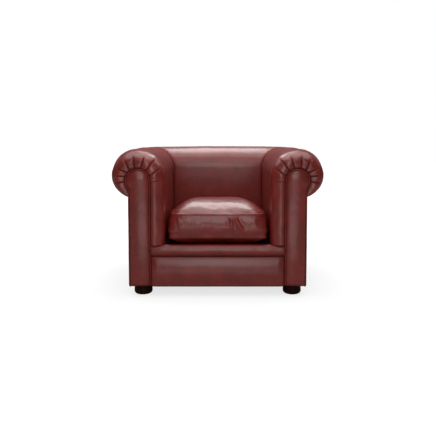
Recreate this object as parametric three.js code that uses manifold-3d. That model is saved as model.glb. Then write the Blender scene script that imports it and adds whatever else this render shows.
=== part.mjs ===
import * as THREE from 'three';
import { mergeVertices } from 'three/addons/utils/BufferGeometryUtils.js';
import Module from 'manifold-3d';

// A chesterfield armchair with plain inside faces, rolled arms and back, and a loose seat cushion.
// Millimetres, +Z up. The front faces -Y and the left side is at -X.
// The origin is on the floor, under the middle of the chair.

const wasm = await Module();
wasm.setup();

// Overall sizes
const overallDepth = 910;
const overallHeight = 760;
const seatWidth = 550;
const underside = 49;

// Clearances
const touchGap = 0.3;
const overrun = 5;
const weldDistance = 0.0005;

// Rolled arm and back, which share one section
const armThickness = 187;
const rollOverhang = 89;
const rollRadius = 126;
const leatherThickness = 2;
const padThickness = 45;
const panelThickness = 4;

// Front of the arm: facing, piping and pleated scroll
const facingInset = 72;
const headBulge = 15;
const ringHeight = 94;
const facingThickness = 22;
const facingEdgeRound = 9;
const frontPadding = 25;
const pipingDiameter = 7;
const scrollEdgeDepth = 43;
const scrollLipDepth = 19;
const neckRise = 28;

// Hardwood frame
const boardThickness = 28;
const frontBoardThickness = 25;
const frameUnderside = 56;
const railTop = 235;
const springRailLift = 34;
const tackRailHeight = 60;
const topRailHeight = 43;
const outerRailHeight = 56;
const rollBoardThickness = 3;
const postInset = 60;
const blockSize = 88;
const blockHeight = 50;
const blockChamfer = 40;

// Springs and seat deck
const springCount = 5;
const springSpacing = 108;
const springWire = 4;
const springHalfWidth = 23;
const springBends = 17;
const clothThickness = 2;
const deckPadThickness = 27.1;

// Front border
const borderRollHeight = 60;
const borderRollDepth = 57;
const borderDepth = 21;
const borderEdgeRound = 10;

// Cushion
const cushionSideGap = 11;
const cushionFrontSetback = 14;
const cushionBackGap = 8;
const lowerSeamRise = 32;
const boxingHeight = 124;
const crownHeight = 46;
const bellyDepth = 46;
const boxingBulge = 7;
const sideDrawIn = 7;
const cornerPower = 7;
const zipLength = 380;
const zipWidth = 14;
const cushionLeather = 2;

// Feet
const footRadius = 48;
const footBaseRadius = 31;
const footTaper = 3;
const footSideSetback = 20;
const footFrontSetback = 2;
const footRearSetback = 27;
const footRound = 17;
const boltDiameter = 8;
const boltInFoot = 35;
const boltInBlock = 42;
const dustThickness = 1.4;

// How finely curved pieces are faceted
const faceRows = 3;
const innerRows = 8;
const outerRows = 12;
const lipRows = 6;
const headRows = 14;
const pipingSides = 6;
const turnedSides = 24;
const turnedRows = 4;
const bevelRows = 3;
const cushionSideSteps = 10;
const boltSides = 10;

// Places worked out from the sizes above
const seatHalf = seatWidth / 2;
const bodyHalf = seatHalf + armThickness;
const rollReach = armThickness + rollOverhang;
const rollCentreU = rollReach - rollRadius;
const rollCentreZ = overallHeight - rollRadius;
const frontY = -overallDepth / 2;
const innerBackY = overallDepth / 2 - rollReach;
const outerBackY = innerBackY + armThickness;
const frameFrontY = frontY + frontPadding;
const boardBackY = frameFrontY + frontBoardThickness;
const frontBlockY = frameFrontY + Math.max(frontBoardThickness, boardThickness) + touchGap;
const padInset = leatherThickness + touchGap;
const padInner = padInset + padThickness;
const woodInset = padInner + touchGap;
const woodOuter = armThickness - panelThickness - touchGap;
const woodRollRadius = rollRadius - woodInset;
const tuckAngle = -Math.acos((armThickness - rollCentreU) / rollRadius);
const tuckZ = rollCentreZ + rollRadius * Math.sin(tuckAngle);
const facingHeadRadius = (armThickness - facingInset + headBulge) / 2;
const headU = facingInset + facingHeadRadius;
const headZ = overallHeight - ringHeight - facingHeadRadius;
const railInnerU = woodOuter - boardThickness;
const postOuter = rollCentreU + (woodRollRadius - rollBoardThickness) * Math.cos(tuckAngle) - touchGap;
const postInner = postOuter - boardThickness;
const topRailBottom = rollCentreZ + woodRollRadius - topRailHeight;
const springZ = railTop + touchGap + springWire / 2;
const springTop = springZ + springWire / 2;
const clothTop = springTop + touchGap + clothThickness;
const tackBottom = clothTop + touchGap;
const deckTop = tackBottom + deckPadThickness;
const coverBottom = deckTop + touchGap;
const mitreGap = touchGap / Math.SQRT2;
const borderHalf = seatHalf + facingInset - touchGap;
const rollBottom = deckTop - borderRollHeight;
const backTackY = innerBackY + woodInset;
const boardHalf = seatHalf + woodInset;
const footTop = frameUnderside - dustThickness - 2 * touchGap;
const footX = bodyHalf - footSideSetback - footRadius;
const footFrontY = frameFrontY + footFrontSetback + footRadius;
const footRearY = outerBackY - footRearSetback - footRadius;

// Finishes
const leather = new THREE.MeshStandardMaterial({ color: 0x672926, roughness: 0.35 });
const hardwood = new THREE.MeshStandardMaterial({ color: 0xc9a26b, roughness: 0.7 });
const foam = new THREE.MeshStandardMaterial({ color: 0xe8dfb8, roughness: 0.95 });
const springSteel = new THREE.MeshStandardMaterial({ color: 0x55565a, roughness: 0.4, metalness: 1 });
const cloth = new THREE.MeshStandardMaterial({ color: 0x1d1c1c, roughness: 0.95 });
const darkWood = new THREE.MeshStandardMaterial({ color: 0x2e110c, roughness: 0.3 });

const chair = new THREE.Group();

function add(name, geometry, material) {
  const mesh = new THREE.Mesh(geometry, material);
  mesh.name = name;
  chair.add(mesh);
}

// A closed mesh as a solid that can be joined and cut.
function toSolid(geometry) {
  const bare = new THREE.BufferGeometry();
  bare.setAttribute('position', geometry.getAttribute('position'));
  bare.setIndex(geometry.index);
  const merged = mergeVertices(bare, weldDistance);
  return new wasm.Manifold(new wasm.Mesh({
    numProp: 3,
    vertProperties: Float32Array.from(merged.getAttribute('position').array),
    triVerts: Uint32Array.from(merged.index.array),
  }));
}

function toGeometry(solid) {
  const mesh = solid.getMesh();
  const geometry = new THREE.BufferGeometry();
  geometry.setAttribute('position', new THREE.BufferAttribute(mesh.vertProperties, 3));
  geometry.setIndex(new THREE.BufferAttribute(mesh.triVerts, 1));
  return geometry;
}

// The same piece on the other side of the chair, with its faces still pointing out.
function mirrored(geometry) {
  const source = geometry.index ? geometry.toNonIndexed() : geometry;
  const from = source.getAttribute('position');
  const places = new Float32Array(from.count * 3);
  for (let i = 0; i < from.count; i += 3) {
    [i, i + 2, i + 1].forEach((corner, k) => {
      places.set([-from.getX(corner), from.getY(corner), from.getZ(corner)], (i + k) * 3);
    });
  }
  const result = new THREE.BufferGeometry();
  result.setAttribute('position', new THREE.BufferAttribute(places, 3));
  return result;
}

function addPair(name, geometry, material) {
  add(`${name}_right`, geometry, material);
  add(`${name}_left`, mirrored(geometry), material);
}

// A rectangular bar between two corners.
function bar(x0, x1, y0, y1, z0, z1) {
  const geometry = new THREE.BoxGeometry(x1 - x0, y1 - y0, z1 - z0);
  geometry.translate((x0 + x1) / 2, (y0 + y1) / 2, (z0 + z1) / 2);
  return geometry;
}

function shapeOf(points) {
  return new THREE.Shape(points.map(([a, b]) => new THREE.Vector2(a, b)));
}

// A flat sheet with its outline in plan, some round holes, and its underside at z0.
function sheet(points, z0, thickness, holes = []) {
  const shape = shapeOf(points);
  for (const [x, y, radius] of holes) {
    const ring = [];
    for (let i = 0; i < boltSides; i++) {
      const angle = -2 * Math.PI * i / boltSides;
      ring.push(new THREE.Vector2(x + radius * Math.cos(angle), y + radius * Math.sin(angle)));
    }
    shape.holes.push(new THREE.Path(ring));
  }
  const geometry = new THREE.ExtrudeGeometry(shape, { depth: thickness, bevelEnabled: false });
  geometry.translate(0, 0, z0);
  return geometry;
}

// A section in (u, z), where u runs outwards from the seat, swept straight between two ends.
// Each end is a function of u, so an end can be square or a mitre. place turns (u, along, z) into
// a point of the chair.
function swept(section, startAt, endAt, place) {
  const geometry = new THREE.ExtrudeGeometry(shapeOf(section), { depth: 1, bevelEnabled: false });
  const points = geometry.getAttribute('position');
  for (let i = 0; i < points.count; i++) {
    const u = points.getX(i);
    const along = points.getZ(i) > 0.5 ? endAt(u) : startAt(u);
    const [x, y, z] = place(u, along, points.getY(i));
    points.setXYZ(i, x, y, z);
  }
  const solid = toSolid(geometry);
  return toGeometry(solid);
}

// The section swept along an arm, from a place behind the front board to the mitre at the back.
function alongArm(section, frontAt = () => boardBackY + touchGap, endAt = armMitre) {
  const reversed = [...section].reverse();
  return swept(reversed, (u) => -endAt(u), (u) => -frontAt(u), (u, along, z) => [seatHalf + u, -along, z]);
}

// The section swept along the back, between the mitres or between two square ends.
function alongBack(section, half = (u) => seatHalf + u - mitreGap) {
  return swept(section, (u) => -half(u), half, (u, along, z) => [along, innerBackY + u, z]);
}

function armMitre(u) {
  return innerBackY + u - mitreGap;
}

// The outer line of arm and back: up the inside face, over the roll and round to the tuck line.
function rollLine(inset) {
  const line = [];
  for (let i = 0; i < faceRows; i++) {
    line.push([inset, coverBottom + (rollCentreZ - coverBottom) * i / faceRows]);
  }
  for (let i = 0; i <= innerRows; i++) {
    const angle = Math.PI - Math.PI / 2 * i / innerRows;
    line.push([rollCentreU + (rollCentreU - inset) * Math.cos(angle),
      rollCentreZ + (rollRadius - inset) * Math.sin(angle)]);
  }
  for (let i = 1; i <= outerRows; i++) {
    const angle = Math.PI / 2 + (tuckAngle - Math.PI / 2) * i / outerRows;
    line.push([rollCentreU + (rollRadius - inset) * Math.cos(angle),
      rollCentreZ + (rollRadius - inset) * Math.sin(angle)]);
  }
  return line;
}

// The line round the facing that the pleated scroll is drawn in to, point for point with rollLine.
function lipLine(outset) {
  const radius = facingHeadRadius + outset;
  const neckAngle = -Math.acos((armThickness - headU) / facingHeadRadius);
  const neckTop = headZ + radius * Math.sin(neckAngle);
  const line = [];
  for (let i = 0; i < faceRows; i++) {
    line.push([facingInset - outset, coverBottom + (headZ - coverBottom) * i / faceRows]);
  }
  for (let i = 0; i <= innerRows + outerRows; i++) {
    const first = Math.PI - Math.PI / 2 * i / innerRows;
    const second = Math.PI / 2 + (tuckAngle - Math.PI / 2) * (i - innerRows) / outerRows;
    const angle = i <= innerRows ? first : second;
    const share = (neckAngle - angle) / (neckAngle - tuckAngle);
    line.push(share <= 0
      ? [headU + radius * Math.cos(angle), headZ + radius * Math.sin(angle)]
      : [armThickness + outset * (1 - share), neckTop + (tuckZ + neckRise - outset - neckTop) * share]);
  }
  return line;
}

// The skin of an arm, inset from its outer face: rows from the lip at the piping, over the front
// bulge, to the mitre at the back.
function armSkin(inset) {
  const outer = rollLine(inset);
  const lip = lipLine(touchGap + inset);
  const outerFace = rollLine(0);
  const lipFace = lipLine(0);
  const bulge = Math.sqrt(scrollEdgeDepth * scrollLipDepth);
  const rows = [];
  for (let k = lipRows; k >= 0; k--) {
    const angle = Math.PI * k / lipRows;
    const share = (1 - Math.cos(angle)) / 2;
    rows.push(outer.map(([u, z], i) => {
      const width = Math.hypot(outerFace[i][0] - lipFace[i][0], outerFace[i][1] - lipFace[i][1]);
      const fullness = Math.min(1, width / facingInset);
      const depth = scrollEdgeDepth + (scrollLipDepth - scrollEdgeDepth) * share;
      const forward = (bulge * fullness - inset) * Math.sin(angle);
      return [seatHalf + u + (lip[i][0] - u) * share, frontY + depth - forward, z + (lip[i][1] - z) * share];
    }));
  }
  rows.push(outer.map(([u, z]) => [seatHalf + u, armMitre(u), z]));
  return rows;
}

// The inner side of an arm pad: over the front of the board, then back along its edge.
function armPadLining() {
  const edge = rollLine(padInner);
  const lip = lipLine(2 * touchGap + padInset);
  const rows = [];
  for (let k = lipRows; k >= 0; k--) {
    const share = (1 - Math.cos(Math.PI * k / lipRows)) / 2;
    rows.push(edge.map(([u, z], i) => [seatHalf + u + (lip[i][0] - u) * share, frameFrontY - touchGap,
      z + (lip[i][1] - z) * share]));
  }
  rows.push(edge.map(([u, z]) => [seatHalf + u, armMitre(u), z]));
  return rows;
}

// Two grids of points with the same rows and columns, closed round their edges into one solid.
function thickSheet(front, back) {
  const columns = front[0].length;
  const rows = front.length;
  const at = (side, r, c) => side * rows * columns + r * columns + c;
  const index = [];
  const quad = (a, b, c, d) => index.push(a, c, b, a, d, c);
  for (let r = 0; r < rows - 1; r++) {
    for (let c = 0; c < columns - 1; c++) {
      quad(at(0, r, c), at(0, r + 1, c), at(0, r + 1, c + 1), at(0, r, c + 1));
      quad(at(1, r, c), at(1, r, c + 1), at(1, r + 1, c + 1), at(1, r + 1, c));
    }
    quad(at(0, r, 0), at(1, r, 0), at(1, r + 1, 0), at(0, r + 1, 0));
    quad(at(0, r, columns - 1), at(0, r + 1, columns - 1), at(1, r + 1, columns - 1), at(1, r, columns - 1));
  }
  for (let c = 0; c < columns - 1; c++) {
    quad(at(0, 0, c), at(0, 0, c + 1), at(1, 0, c + 1), at(1, 0, c));
    quad(at(0, rows - 1, c), at(1, rows - 1, c), at(1, rows - 1, c + 1), at(0, rows - 1, c + 1));
  }
  const geometry = new THREE.BufferGeometry();
  const places = Float32Array.from([...front.flat(2), ...back.flat(2)]);
  geometry.setAttribute('position', new THREE.BufferAttribute(places, 3));
  geometry.setIndex(index);
  return geometry;
}

// A path whose stations are the given points, so that a tube has a ring at each of them.
class StationPath extends THREE.Curve {
  constructor(stations) {
    super();
    this.stations = stations;
  }

  getPoint(t, target = new THREE.Vector3()) {
    const place = t * (this.stations.length - 1);
    const first = Math.min(Math.floor(place), this.stations.length - 2);
    return target.lerpVectors(this.stations[first], this.stations[first + 1], place - first);
  }

  getUtoTmapping(u) {
    return u;
  }
}

function tube(stations, diameter, sides) {
  const ring = [];
  for (let i = 0; i < sides; i++) {
    const angle = 2 * Math.PI * i / sides;
    ring.push([diameter / 2 * Math.cos(angle), diameter / 2 * Math.sin(angle)]);
  }
  return new THREE.ExtrudeGeometry(shapeOf(ring), {
    steps: stations.length - 1,
    extrudePath: new StationPath(stations),
    bevelEnabled: false,
  });
}

// The keyhole line of the facing in (u, z), from the inner bottom corner round to the outer one.
function keyhole(inset) {
  const radius = facingHeadRadius - inset;
  const neckAngle = -Math.acos((armThickness - inset - headU) / radius);
  const line = [[facingInset + inset, underside]];
  for (let i = 0; i <= headRows; i++) {
    const angle = Math.PI + (neckAngle - Math.PI) * i / headRows;
    line.push([headU + radius * Math.cos(angle), headZ + radius * Math.sin(angle)]);
  }
  line.push([armThickness - inset, underside]);
  return line;
}

function makeFacing() {
  const edge = pipingDiameter + 2 * touchGap;
  const outline = keyhole(edge + facingEdgeRound).map(([u, z], i, all) => {
    const end = i === 0 || i === all.length - 1;
    return [seatHalf + u, end ? z + facingEdgeRound : z];
  });
  const geometry = new THREE.ExtrudeGeometry(shapeOf(outline), {
    depth: facingThickness - facingEdgeRound,
    bevelThickness: facingEdgeRound,
    bevelSize: facingEdgeRound,
    bevelSegments: bevelRows,
  });
  // The rear bevel is cut away so that the facing lies flat on its board.
  geometry.rotateX(Math.PI / 2);
  const back = frameFrontY - touchGap;
  geometry.translate(0, back, 0);
  const cut = bar(seatHalf - overrun, seatHalf + rollReach, back, back + facingEdgeRound + overrun,
    underside - overrun, overallHeight);
  return toGeometry(toSolid(geometry).subtract(toSolid(cut)));
}

function makePiping() {
  const y = frameFrontY - touchGap - facingThickness + facingEdgeRound;
  const line = keyhole(pipingDiameter / 2 + touchGap);
  const stations = line.map(([u, z]) => new THREE.Vector3(seatHalf + u, y, z));
  return tube(stations, pipingDiameter, pipingSides);
}

function makeArmFront() {
  addPair('facing', makeFacing(), leather);
  addPair('facing_piping', makePiping(), leather);
}

// The line of the front board and outer rail where they pass inside the tucked end of the roll.
const neckPoint = [rollCentreU + (woodRollRadius - touchGap) * Math.cos(tuckAngle),
  rollCentreZ + (woodRollRadius - touchGap) * Math.sin(tuckAngle)];

function makeArmFrame() {
  const board = [[woodInset, frameUnderside], ...rollLine(woodInset).slice(faceRows), [woodOuter, tuckZ],
    [woodOuter, frameUnderside]];
  addPair('arm_front_board', alongArm(board, () => frameFrontY, () => boardBackY), hardwood);

  addPair('arm_top_rail', alongArm(topRailSection()), hardwood);
  addPair('arm_roll_board', alongArm(rollBoardSection()), hardwood);
  const postFront = innerBackY + postInset - touchGap;
  addPair('arm_outer_rail', alongArm(outerRailSection(), undefined, () => postFront), hardwood);
  addPair('arm_tack_rail', bar(boardHalf, boardHalf + boardThickness, boardBackY + touchGap,
    backTackY - touchGap, tackBottom, tackBottom + tackRailHeight), hardwood);
  addPair('side_rail', bar(seatHalf + railInnerU, seatHalf + woodOuter, boardBackY + touchGap,
    postFront, frameUnderside, springTop), hardwood);
}

// The points of a line on one side of a level, with new points where it crosses the level.
function clipped(line, level, side) {
  const kept = [];
  line.forEach(([u, z], i) => {
    const [u0, z0] = i ? line[i - 1] : [u, z];
    if ((z - level) * (z0 - level) < 0) {
      kept.push([u0 + (u - u0) * (level - z0) / (z - z0), level]);
    }
    if ((z - level) * side > 0) {
      kept.push([u, z]);
    }
  });
  return kept;
}

function topRailSection() {
  return clipped(rollLine(woodInset), topRailBottom, 1);
}

// A bent board round the outside of the roll, from under the top rail to the outer rail.
function rollBoardSection() {
  const fall = (inset) => clipped(rollLine(inset).slice(faceRows + innerRows), topRailBottom - touchGap, -1);
  return [...fall(woodInset), ...fall(woodInset + rollBoardThickness).reverse()];
}

function outerRailSection() {
  const top = neckPoint[1] - touchGap;
  const bottom = top - outerRailHeight;
  return [[railInnerU, bottom], [railInnerU, top], [neckPoint[0] - touchGap, top], [woodOuter, tuckZ],
    [woodOuter, bottom]];
}

function makeBackFrame() {
  const postHalf = seatHalf + postInset - touchGap;
  add('back_top_rail', alongBack(topRailSection()), hardwood);
  add('back_roll_board', alongBack(rollBoardSection()), hardwood);
  add('back_outer_rail', alongBack(outerRailSection(), () => postHalf), hardwood);
  const innerHalf = seatHalf + postInner - touchGap;
  add('back_tack_rail', bar(-innerHalf, innerHalf, backTackY, backTackY + boardThickness, tackBottom,
    tackBottom + tackRailHeight), hardwood);
  add('back_rail', bar(-postHalf, postHalf, innerBackY + railInnerU, innerBackY + woodOuter,
    frameUnderside, springTop), hardwood);
  add('spring_rail', bar(-innerHalf, innerHalf, backTackY, backTackY + boardThickness,
    frameUnderside + blockHeight + springRailLift, railTop), hardwood);
}

// An L of two boards in each rear corner, under the mitre of the top rails.
function makeRearPosts() {
  const corner = (u, v) => [seatHalf + u, innerBackY + v];
  const outline = [corner(postInset, postOuter), corner(postInset, postInner), corner(postInner, postInner),
    corner(postInner, postInset), corner(postOuter, postInset), corner(postOuter, postOuter)];
  addPair('rear_post', sheet(outline, frameUnderside, topRailBottom - touchGap - frameUnderside), hardwood);
}

function makeFrontRail() {
  const half = boardHalf - touchGap;
  add('front_rail', bar(-half, half, frameFrontY, frameFrontY + boardThickness, frameUnderside, railTop),
    hardwood);
}

// A corner block with its bolt hole, in the corner at (x, y). towards is +1 where the frame lies
// behind the corner, and -1 where it lies in front of it.
function cornerBlock(x, y, towards, hole) {
  const shape = [[x, y], [x, y + towards * blockSize], [x - blockChamfer, y + towards * blockSize],
    [x - blockSize, y + towards * blockChamfer], [x - blockSize, y]];
  const points = towards > 0 ? shape : shape.reverse();
  return sheet(points, frameUnderside, blockHeight, [hole]);
}

function makeCornerBlocks() {
  const hole = boltDiameter / 2 + touchGap;
  const frontX = seatHalf + railInnerU - touchGap;
  const rearX = seatHalf + postInner - touchGap;
  const front = cornerBlock(frontX, frontBlockY, 1, [footX, footFrontY, hole]);
  const rear = cornerBlock(rearX, innerBackY + postInner - touchGap, -1, [footX, footRearY, hole]);
  addPair('corner_block_front', front, hardwood);
  addPair('corner_block_rear', rear, hardwood);
}

// Sinuous wire springs, from the front rail to the spring rail.
function makeSprings() {
  const start = frameFrontY + boardThickness / 2;
  const end = backTackY + boardThickness / 2;
  const pitch = (end - start) / springBends;
  const bendShares = [0.12, 0.3, 0.7, 0.88];
  for (let s = 0; s < springCount; s++) {
    const middle = (s - (springCount - 1) / 2) * springSpacing;
    const stations = [new THREE.Vector3(middle, start, springZ)];
    for (let bend = 0; bend < springBends; bend++) {
      const side = bend % 2 ? -1 : 1;
      for (const share of bendShares) {
        const reach = springHalfWidth * Math.sin(Math.PI * share) ** (1 / 2);
        stations.push(new THREE.Vector3(middle + side * reach, start + (bend + share) * pitch, springZ));
      }
    }
    stations.push(new THREE.Vector3(middle, end, springZ));
    add(`seat_spring_${s + 1}`, tube(stations, springWire, pipingSides - 2), springSteel);
  }
}

function makeDeck() {
  const half = seatHalf + railInnerU - touchGap;
  const frontHalf = boardHalf - touchGap;
  const behindBoard = boardBackY + touchGap;
  const rear = backTackY + boardThickness;
  const postFront = innerBackY + postInset - touchGap;
  const rearHalf = seatHalf + postInner - touchGap;
  const right = [[frontHalf, frameFrontY], [frontHalf, behindBoard], [half, behindBoard],
    [half, postFront], [rearHalf, postFront], [rearHalf, rear]];
  const left = right.map(([x, y]) => [-x, y]).reverse();
  add('deck_cloth', sheet([...right, ...left], springTop + touchGap, clothThickness), cloth);
  const padFront = frontY + borderRollDepth + touchGap;
  const padHalf = boardHalf - touchGap;
  add('deck_pad', bar(-padHalf, padHalf, Math.max(padFront, behindBoard), backTackY - touchGap, tackBottom,
    deckTop), cloth);
}

function makeCovers() {
  const cover = [...rollLine(0), ...rollLine(leatherThickness).reverse()];
  addPair('inside_arm_cover', thickSheet(armSkin(0), armSkin(leatherThickness)), leather);
  const seat = swept(keyhole(pipingDiameter + touchGap).reverse(), () => -frameFrontY, () => overrun - frontY,
    (u, along, z) => [seatHalf + u, -along, z]);
  const pad = toSolid(thickSheet(armSkin(padInset), armPadLining())).subtract(toSolid(seat));
  addPair('arm_pad', toGeometry(pad), foam);
  add('inside_back_cover', alongBack(cover), leather);
  add('back_pad', alongBack([...rollLine(padInset), ...rollLine(padInner).reverse()]), foam);

  const panelTop = tuckZ - touchGap;
  const pipingBack = frameFrontY - touchGap - facingThickness + facingEdgeRound + pipingDiameter / 2;
  addPair('outside_arm_cover', bar(bodyHalf - panelThickness, bodyHalf, pipingBack + touchGap, outerBackY,
    underside, panelTop), leather);
  const backHalf = bodyHalf - panelThickness - touchGap;
  add('outside_back_cover', bar(-backHalf, backHalf, outerBackY - panelThickness, outerBackY, underside,
    panelTop), leather);
}

// The rolled edge wraps the top of the front rail and the front of the deck cloth.
function makeBorder() {
  const along = (section) => {
    const depth = 2 * borderHalf;
    const geometry = new THREE.ExtrudeGeometry(shapeOf(section), { depth, bevelEnabled: false });
    const turn = new THREE.Matrix4().set(0, 0, 1, -borderHalf, 1, 0, 0, 0, 0, 1, 0, 0, 0, 0, 0, 1);
    geometry.applyMatrix4(turn);
    return geometry;
  };
  const back = frameFrontY - touchGap;
  const rollBack = frontY + borderRollDepth;
  const half = borderRollHeight / 2;
  const nose = back - frontY;
  const roll = [[rollBack, tackBottom], [rollBack, deckTop - borderEdgeRound],
    [rollBack - borderEdgeRound, deckTop], [back, deckTop]];
  for (let i = 1; i < headRows; i++) {
    const angle = Math.PI / 2 + Math.PI * i / headRows;
    roll.push([back + nose * Math.cos(angle), rollBottom + half + half * Math.sin(angle)]);
  }
  roll.push([back, rollBottom], [back, tackBottom]);
  // Behind the front boards' faces the roll lies only between the boards.
  const corner = toSolid(bar(boardHalf - touchGap, borderHalf + overrun, back, rollBack + overrun,
    rollBottom, deckTop + overrun));
  const otherCorner = corner.mirror([1, 0, 0]);
  add('border_roll', toGeometry(toSolid(along(roll)).subtract(corner).subtract(otherCorner)), leather);

  const top = rollBottom - touchGap;
  const border = [[back, underside], [back, top]];
  const nosing = back - borderDepth + borderEdgeRound;
  const edges = [[top - borderEdgeRound, Math.PI / 2], [underside + borderEdgeRound, Math.PI]];
  for (const [middle, from] of edges) {
    for (let i = 0; i <= bevelRows; i++) {
      const angle = from + Math.PI / 2 * i / bevelRows;
      border.push([nosing + borderEdgeRound * Math.cos(angle), middle + borderEdgeRound * Math.sin(angle)]);
    }
  }
  add('front_border', along(border), leather);
}

// The cushion's closed form, inset all round. Rings run from the middle of the underside, out to the
// lower seam, up the boxing, and in over the crown.
function cushionForm(inset) {
  const front = frontY + cushionFrontSetback;
  const rear = innerBackY - cushionBackGap;
  const halfX = seatHalf - cushionSideGap - inset - boxingBulge;
  const halfY = (rear - front) / 2 - inset - boxingBulge;
  const centreY = (front + rear) / 2;
  const seat = deckTop + touchGap + inset;
  const lowerSeam = deckTop + touchGap + lowerSeamRise;
  const upperSeam = lowerSeam + boxingHeight;
  const rim = [];
  for (let i = 0; i < cushionSideSteps; i++) {
    rim.push([Math.sin(Math.PI / 2 * (2 * i / cushionSideSteps - 1)), -1]);
  }
  const square = [0, 1, 2, 3].flatMap((turn) => rim.map(([a, b]) => {
    const [cos, sin] = [[1, 0], [0, 1], [-1, 0], [0, -1]][turn];
    return [a * cos - b * sin, a * sin + b * cos];
  }));
  const fullness = (a, b) => Math.sqrt((1 - a ** 4) * (1 - b ** 4));
  const ringShares = [0.35, 0.62, 0.82, 0.94];
  const ring = (share, bulge, level) => square.map(([a, b]) => {
    const soft = share / (Math.abs(a) ** cornerPower + Math.abs(b) ** cornerPower) ** (1 / cornerPower);
    const x = a * soft * (halfX + bulge - sideDrawIn * (1 - b * b));
    const y = b * soft * (halfY + bulge - sideDrawIn * (1 - a * a));
    return [x, centreY + y, level(a * share, b * share)];
  });
  const under = (a, b) => Math.max(seat, lowerSeam + inset / 2 - bellyDepth * fullness(a, b));
  const over = (a, b) => upperSeam - inset + crownHeight * fullness(a, b);
  const rings = ringShares.map((share) => ring(share, 0, under));
  rings.push(ring(1, 0, under));
  rings.push(ring(1, boxingBulge, () => (lowerSeam + upperSeam) / 2));
  rings.push(ring(1, 0, over));
  rings.push(...[...ringShares].reverse().map((share) => ring(share, 0, over)));
  const count = square.length;
  const places = rings.flat(2);
  const poles = [[0, centreY, under(0, 0)], [0, centreY, over(0, 0)]];
  const index = [];
  const bottomPole = rings.length * count;
  for (let i = 0; i < count; i++) {
    const next = (i + 1) % count;
    index.push(bottomPole, next, i);
    for (let r = 0; r < rings.length - 1; r++) {
      const [a, b, c, d] = [r * count + i, r * count + next, (r + 1) * count + next, (r + 1) * count + i];
      index.push(a, b, c, a, c, d);
    }
    index.push(bottomPole + 1, (rings.length - 1) * count + i, (rings.length - 1) * count + next);
  }
  const geometry = new THREE.BufferGeometry();
  const all = Float32Array.from([...places, ...poles.flat()]);
  geometry.setAttribute('position', new THREE.BufferAttribute(all, 3));
  geometry.setIndex(index);
  return geometry;
}

function makeCushion() {
  const rear = innerBackY - cushionBackGap;
  const middle = deckTop + touchGap + lowerSeamRise + boxingHeight / 2;
  const slot = (gap) => toSolid(bar(-zipLength / 2 + gap, zipLength / 2 - gap, rear - boxingHeight / 2,
    rear + overrun, middle - zipWidth / 2 + gap, middle + zipWidth / 2 - gap));
  const wall = toSolid(cushionForm(0)).subtract(toSolid(cushionForm(cushionLeather)));
  add('cushion_cover', toGeometry(wall.subtract(slot(0))), leather);
  add('cushion_zip', toGeometry(wall.intersect(slot(touchGap))), cloth);
  add('cushion_core', cushionForm(cushionLeather + touchGap), foam);
}

function makeFoot(x, y) {
  const bore = boltDiameter / 2 + touchGap;
  const profile = [[0, 0], [footBaseRadius, 0]];
  for (let i = 1; i <= turnedRows; i++) {
    const angle = Math.PI / 2 * i / turnedRows;
    profile.push([footBaseRadius + (footRadius - footBaseRadius) * Math.sin(angle),
      footRound * (1 - Math.cos(angle))]);
  }
  profile.push([footRadius, footTop / 2], [footRadius - footTaper, footTop], [bore, footTop],
    [bore, footTop - boltInFoot], [0, footTop - boltInFoot]);
  const geometry = new THREE.LatheGeometry(profile.map(([r, z]) => new THREE.Vector2(r, z)), turnedSides);
  geometry.rotateX(Math.PI / 2);
  geometry.translate(x, y, 0);
  return geometry;
}

function makeBolt(x, y) {
  const bottom = footTop - boltInFoot + touchGap;
  const top = frameUnderside + boltInBlock;
  const geometry = new THREE.CylinderGeometry(boltDiameter / 2, boltDiameter / 2, top - bottom, boltSides);
  geometry.rotateX(Math.PI / 2);
  geometry.translate(x, y, (top + bottom) / 2);
  return geometry;
}

function makeFeet() {
  for (const [name, y] of [['front', footFrontY], ['rear', footRearY]]) {
    for (const [side, x] of [['right', footX], ['left', -footX]]) {
      add(`foot_${name}_${side}`, makeFoot(x, y), darkWood);
      add(`foot_bolt_${name}_${side}`, makeBolt(x, y), springSteel);
    }
  }
}

function makeDustCover() {
  const half = seatHalf + woodOuter;
  const rear = innerBackY + woodOuter;
  const hole = boltDiameter / 2 + touchGap;
  const holes = [footX, -footX].flatMap((x) => [[x, footFrontY, hole], [x, footRearY, hole]]);
  add('dust_cover', sheet([[-half, frameFrontY], [half, frameFrontY], [half, rear], [-half, rear]],
    footTop + touchGap, dustThickness, holes), cloth);
}

makeFrontRail();
makeArmFrame();
makeBackFrame();
makeRearPosts();
makeCornerBlocks();
makeSprings();
makeDeck();
makeCovers();
makeArmFront();
makeBorder();
makeCushion();
makeFeet();
makeDustCover();

export default chair;
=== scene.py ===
"""Looks of a chesterfield armchair in ox-red leather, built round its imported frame.

Metres, +Z up. The front faces -Y and the left side is at -X. The sections of arms and back are written
in (u, z), where u runs outwards from the inside face of the arm or of the back.
"""

import logging
from dataclasses import dataclass
from enum import Enum
from functools import cache
from typing import Sequence

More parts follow.
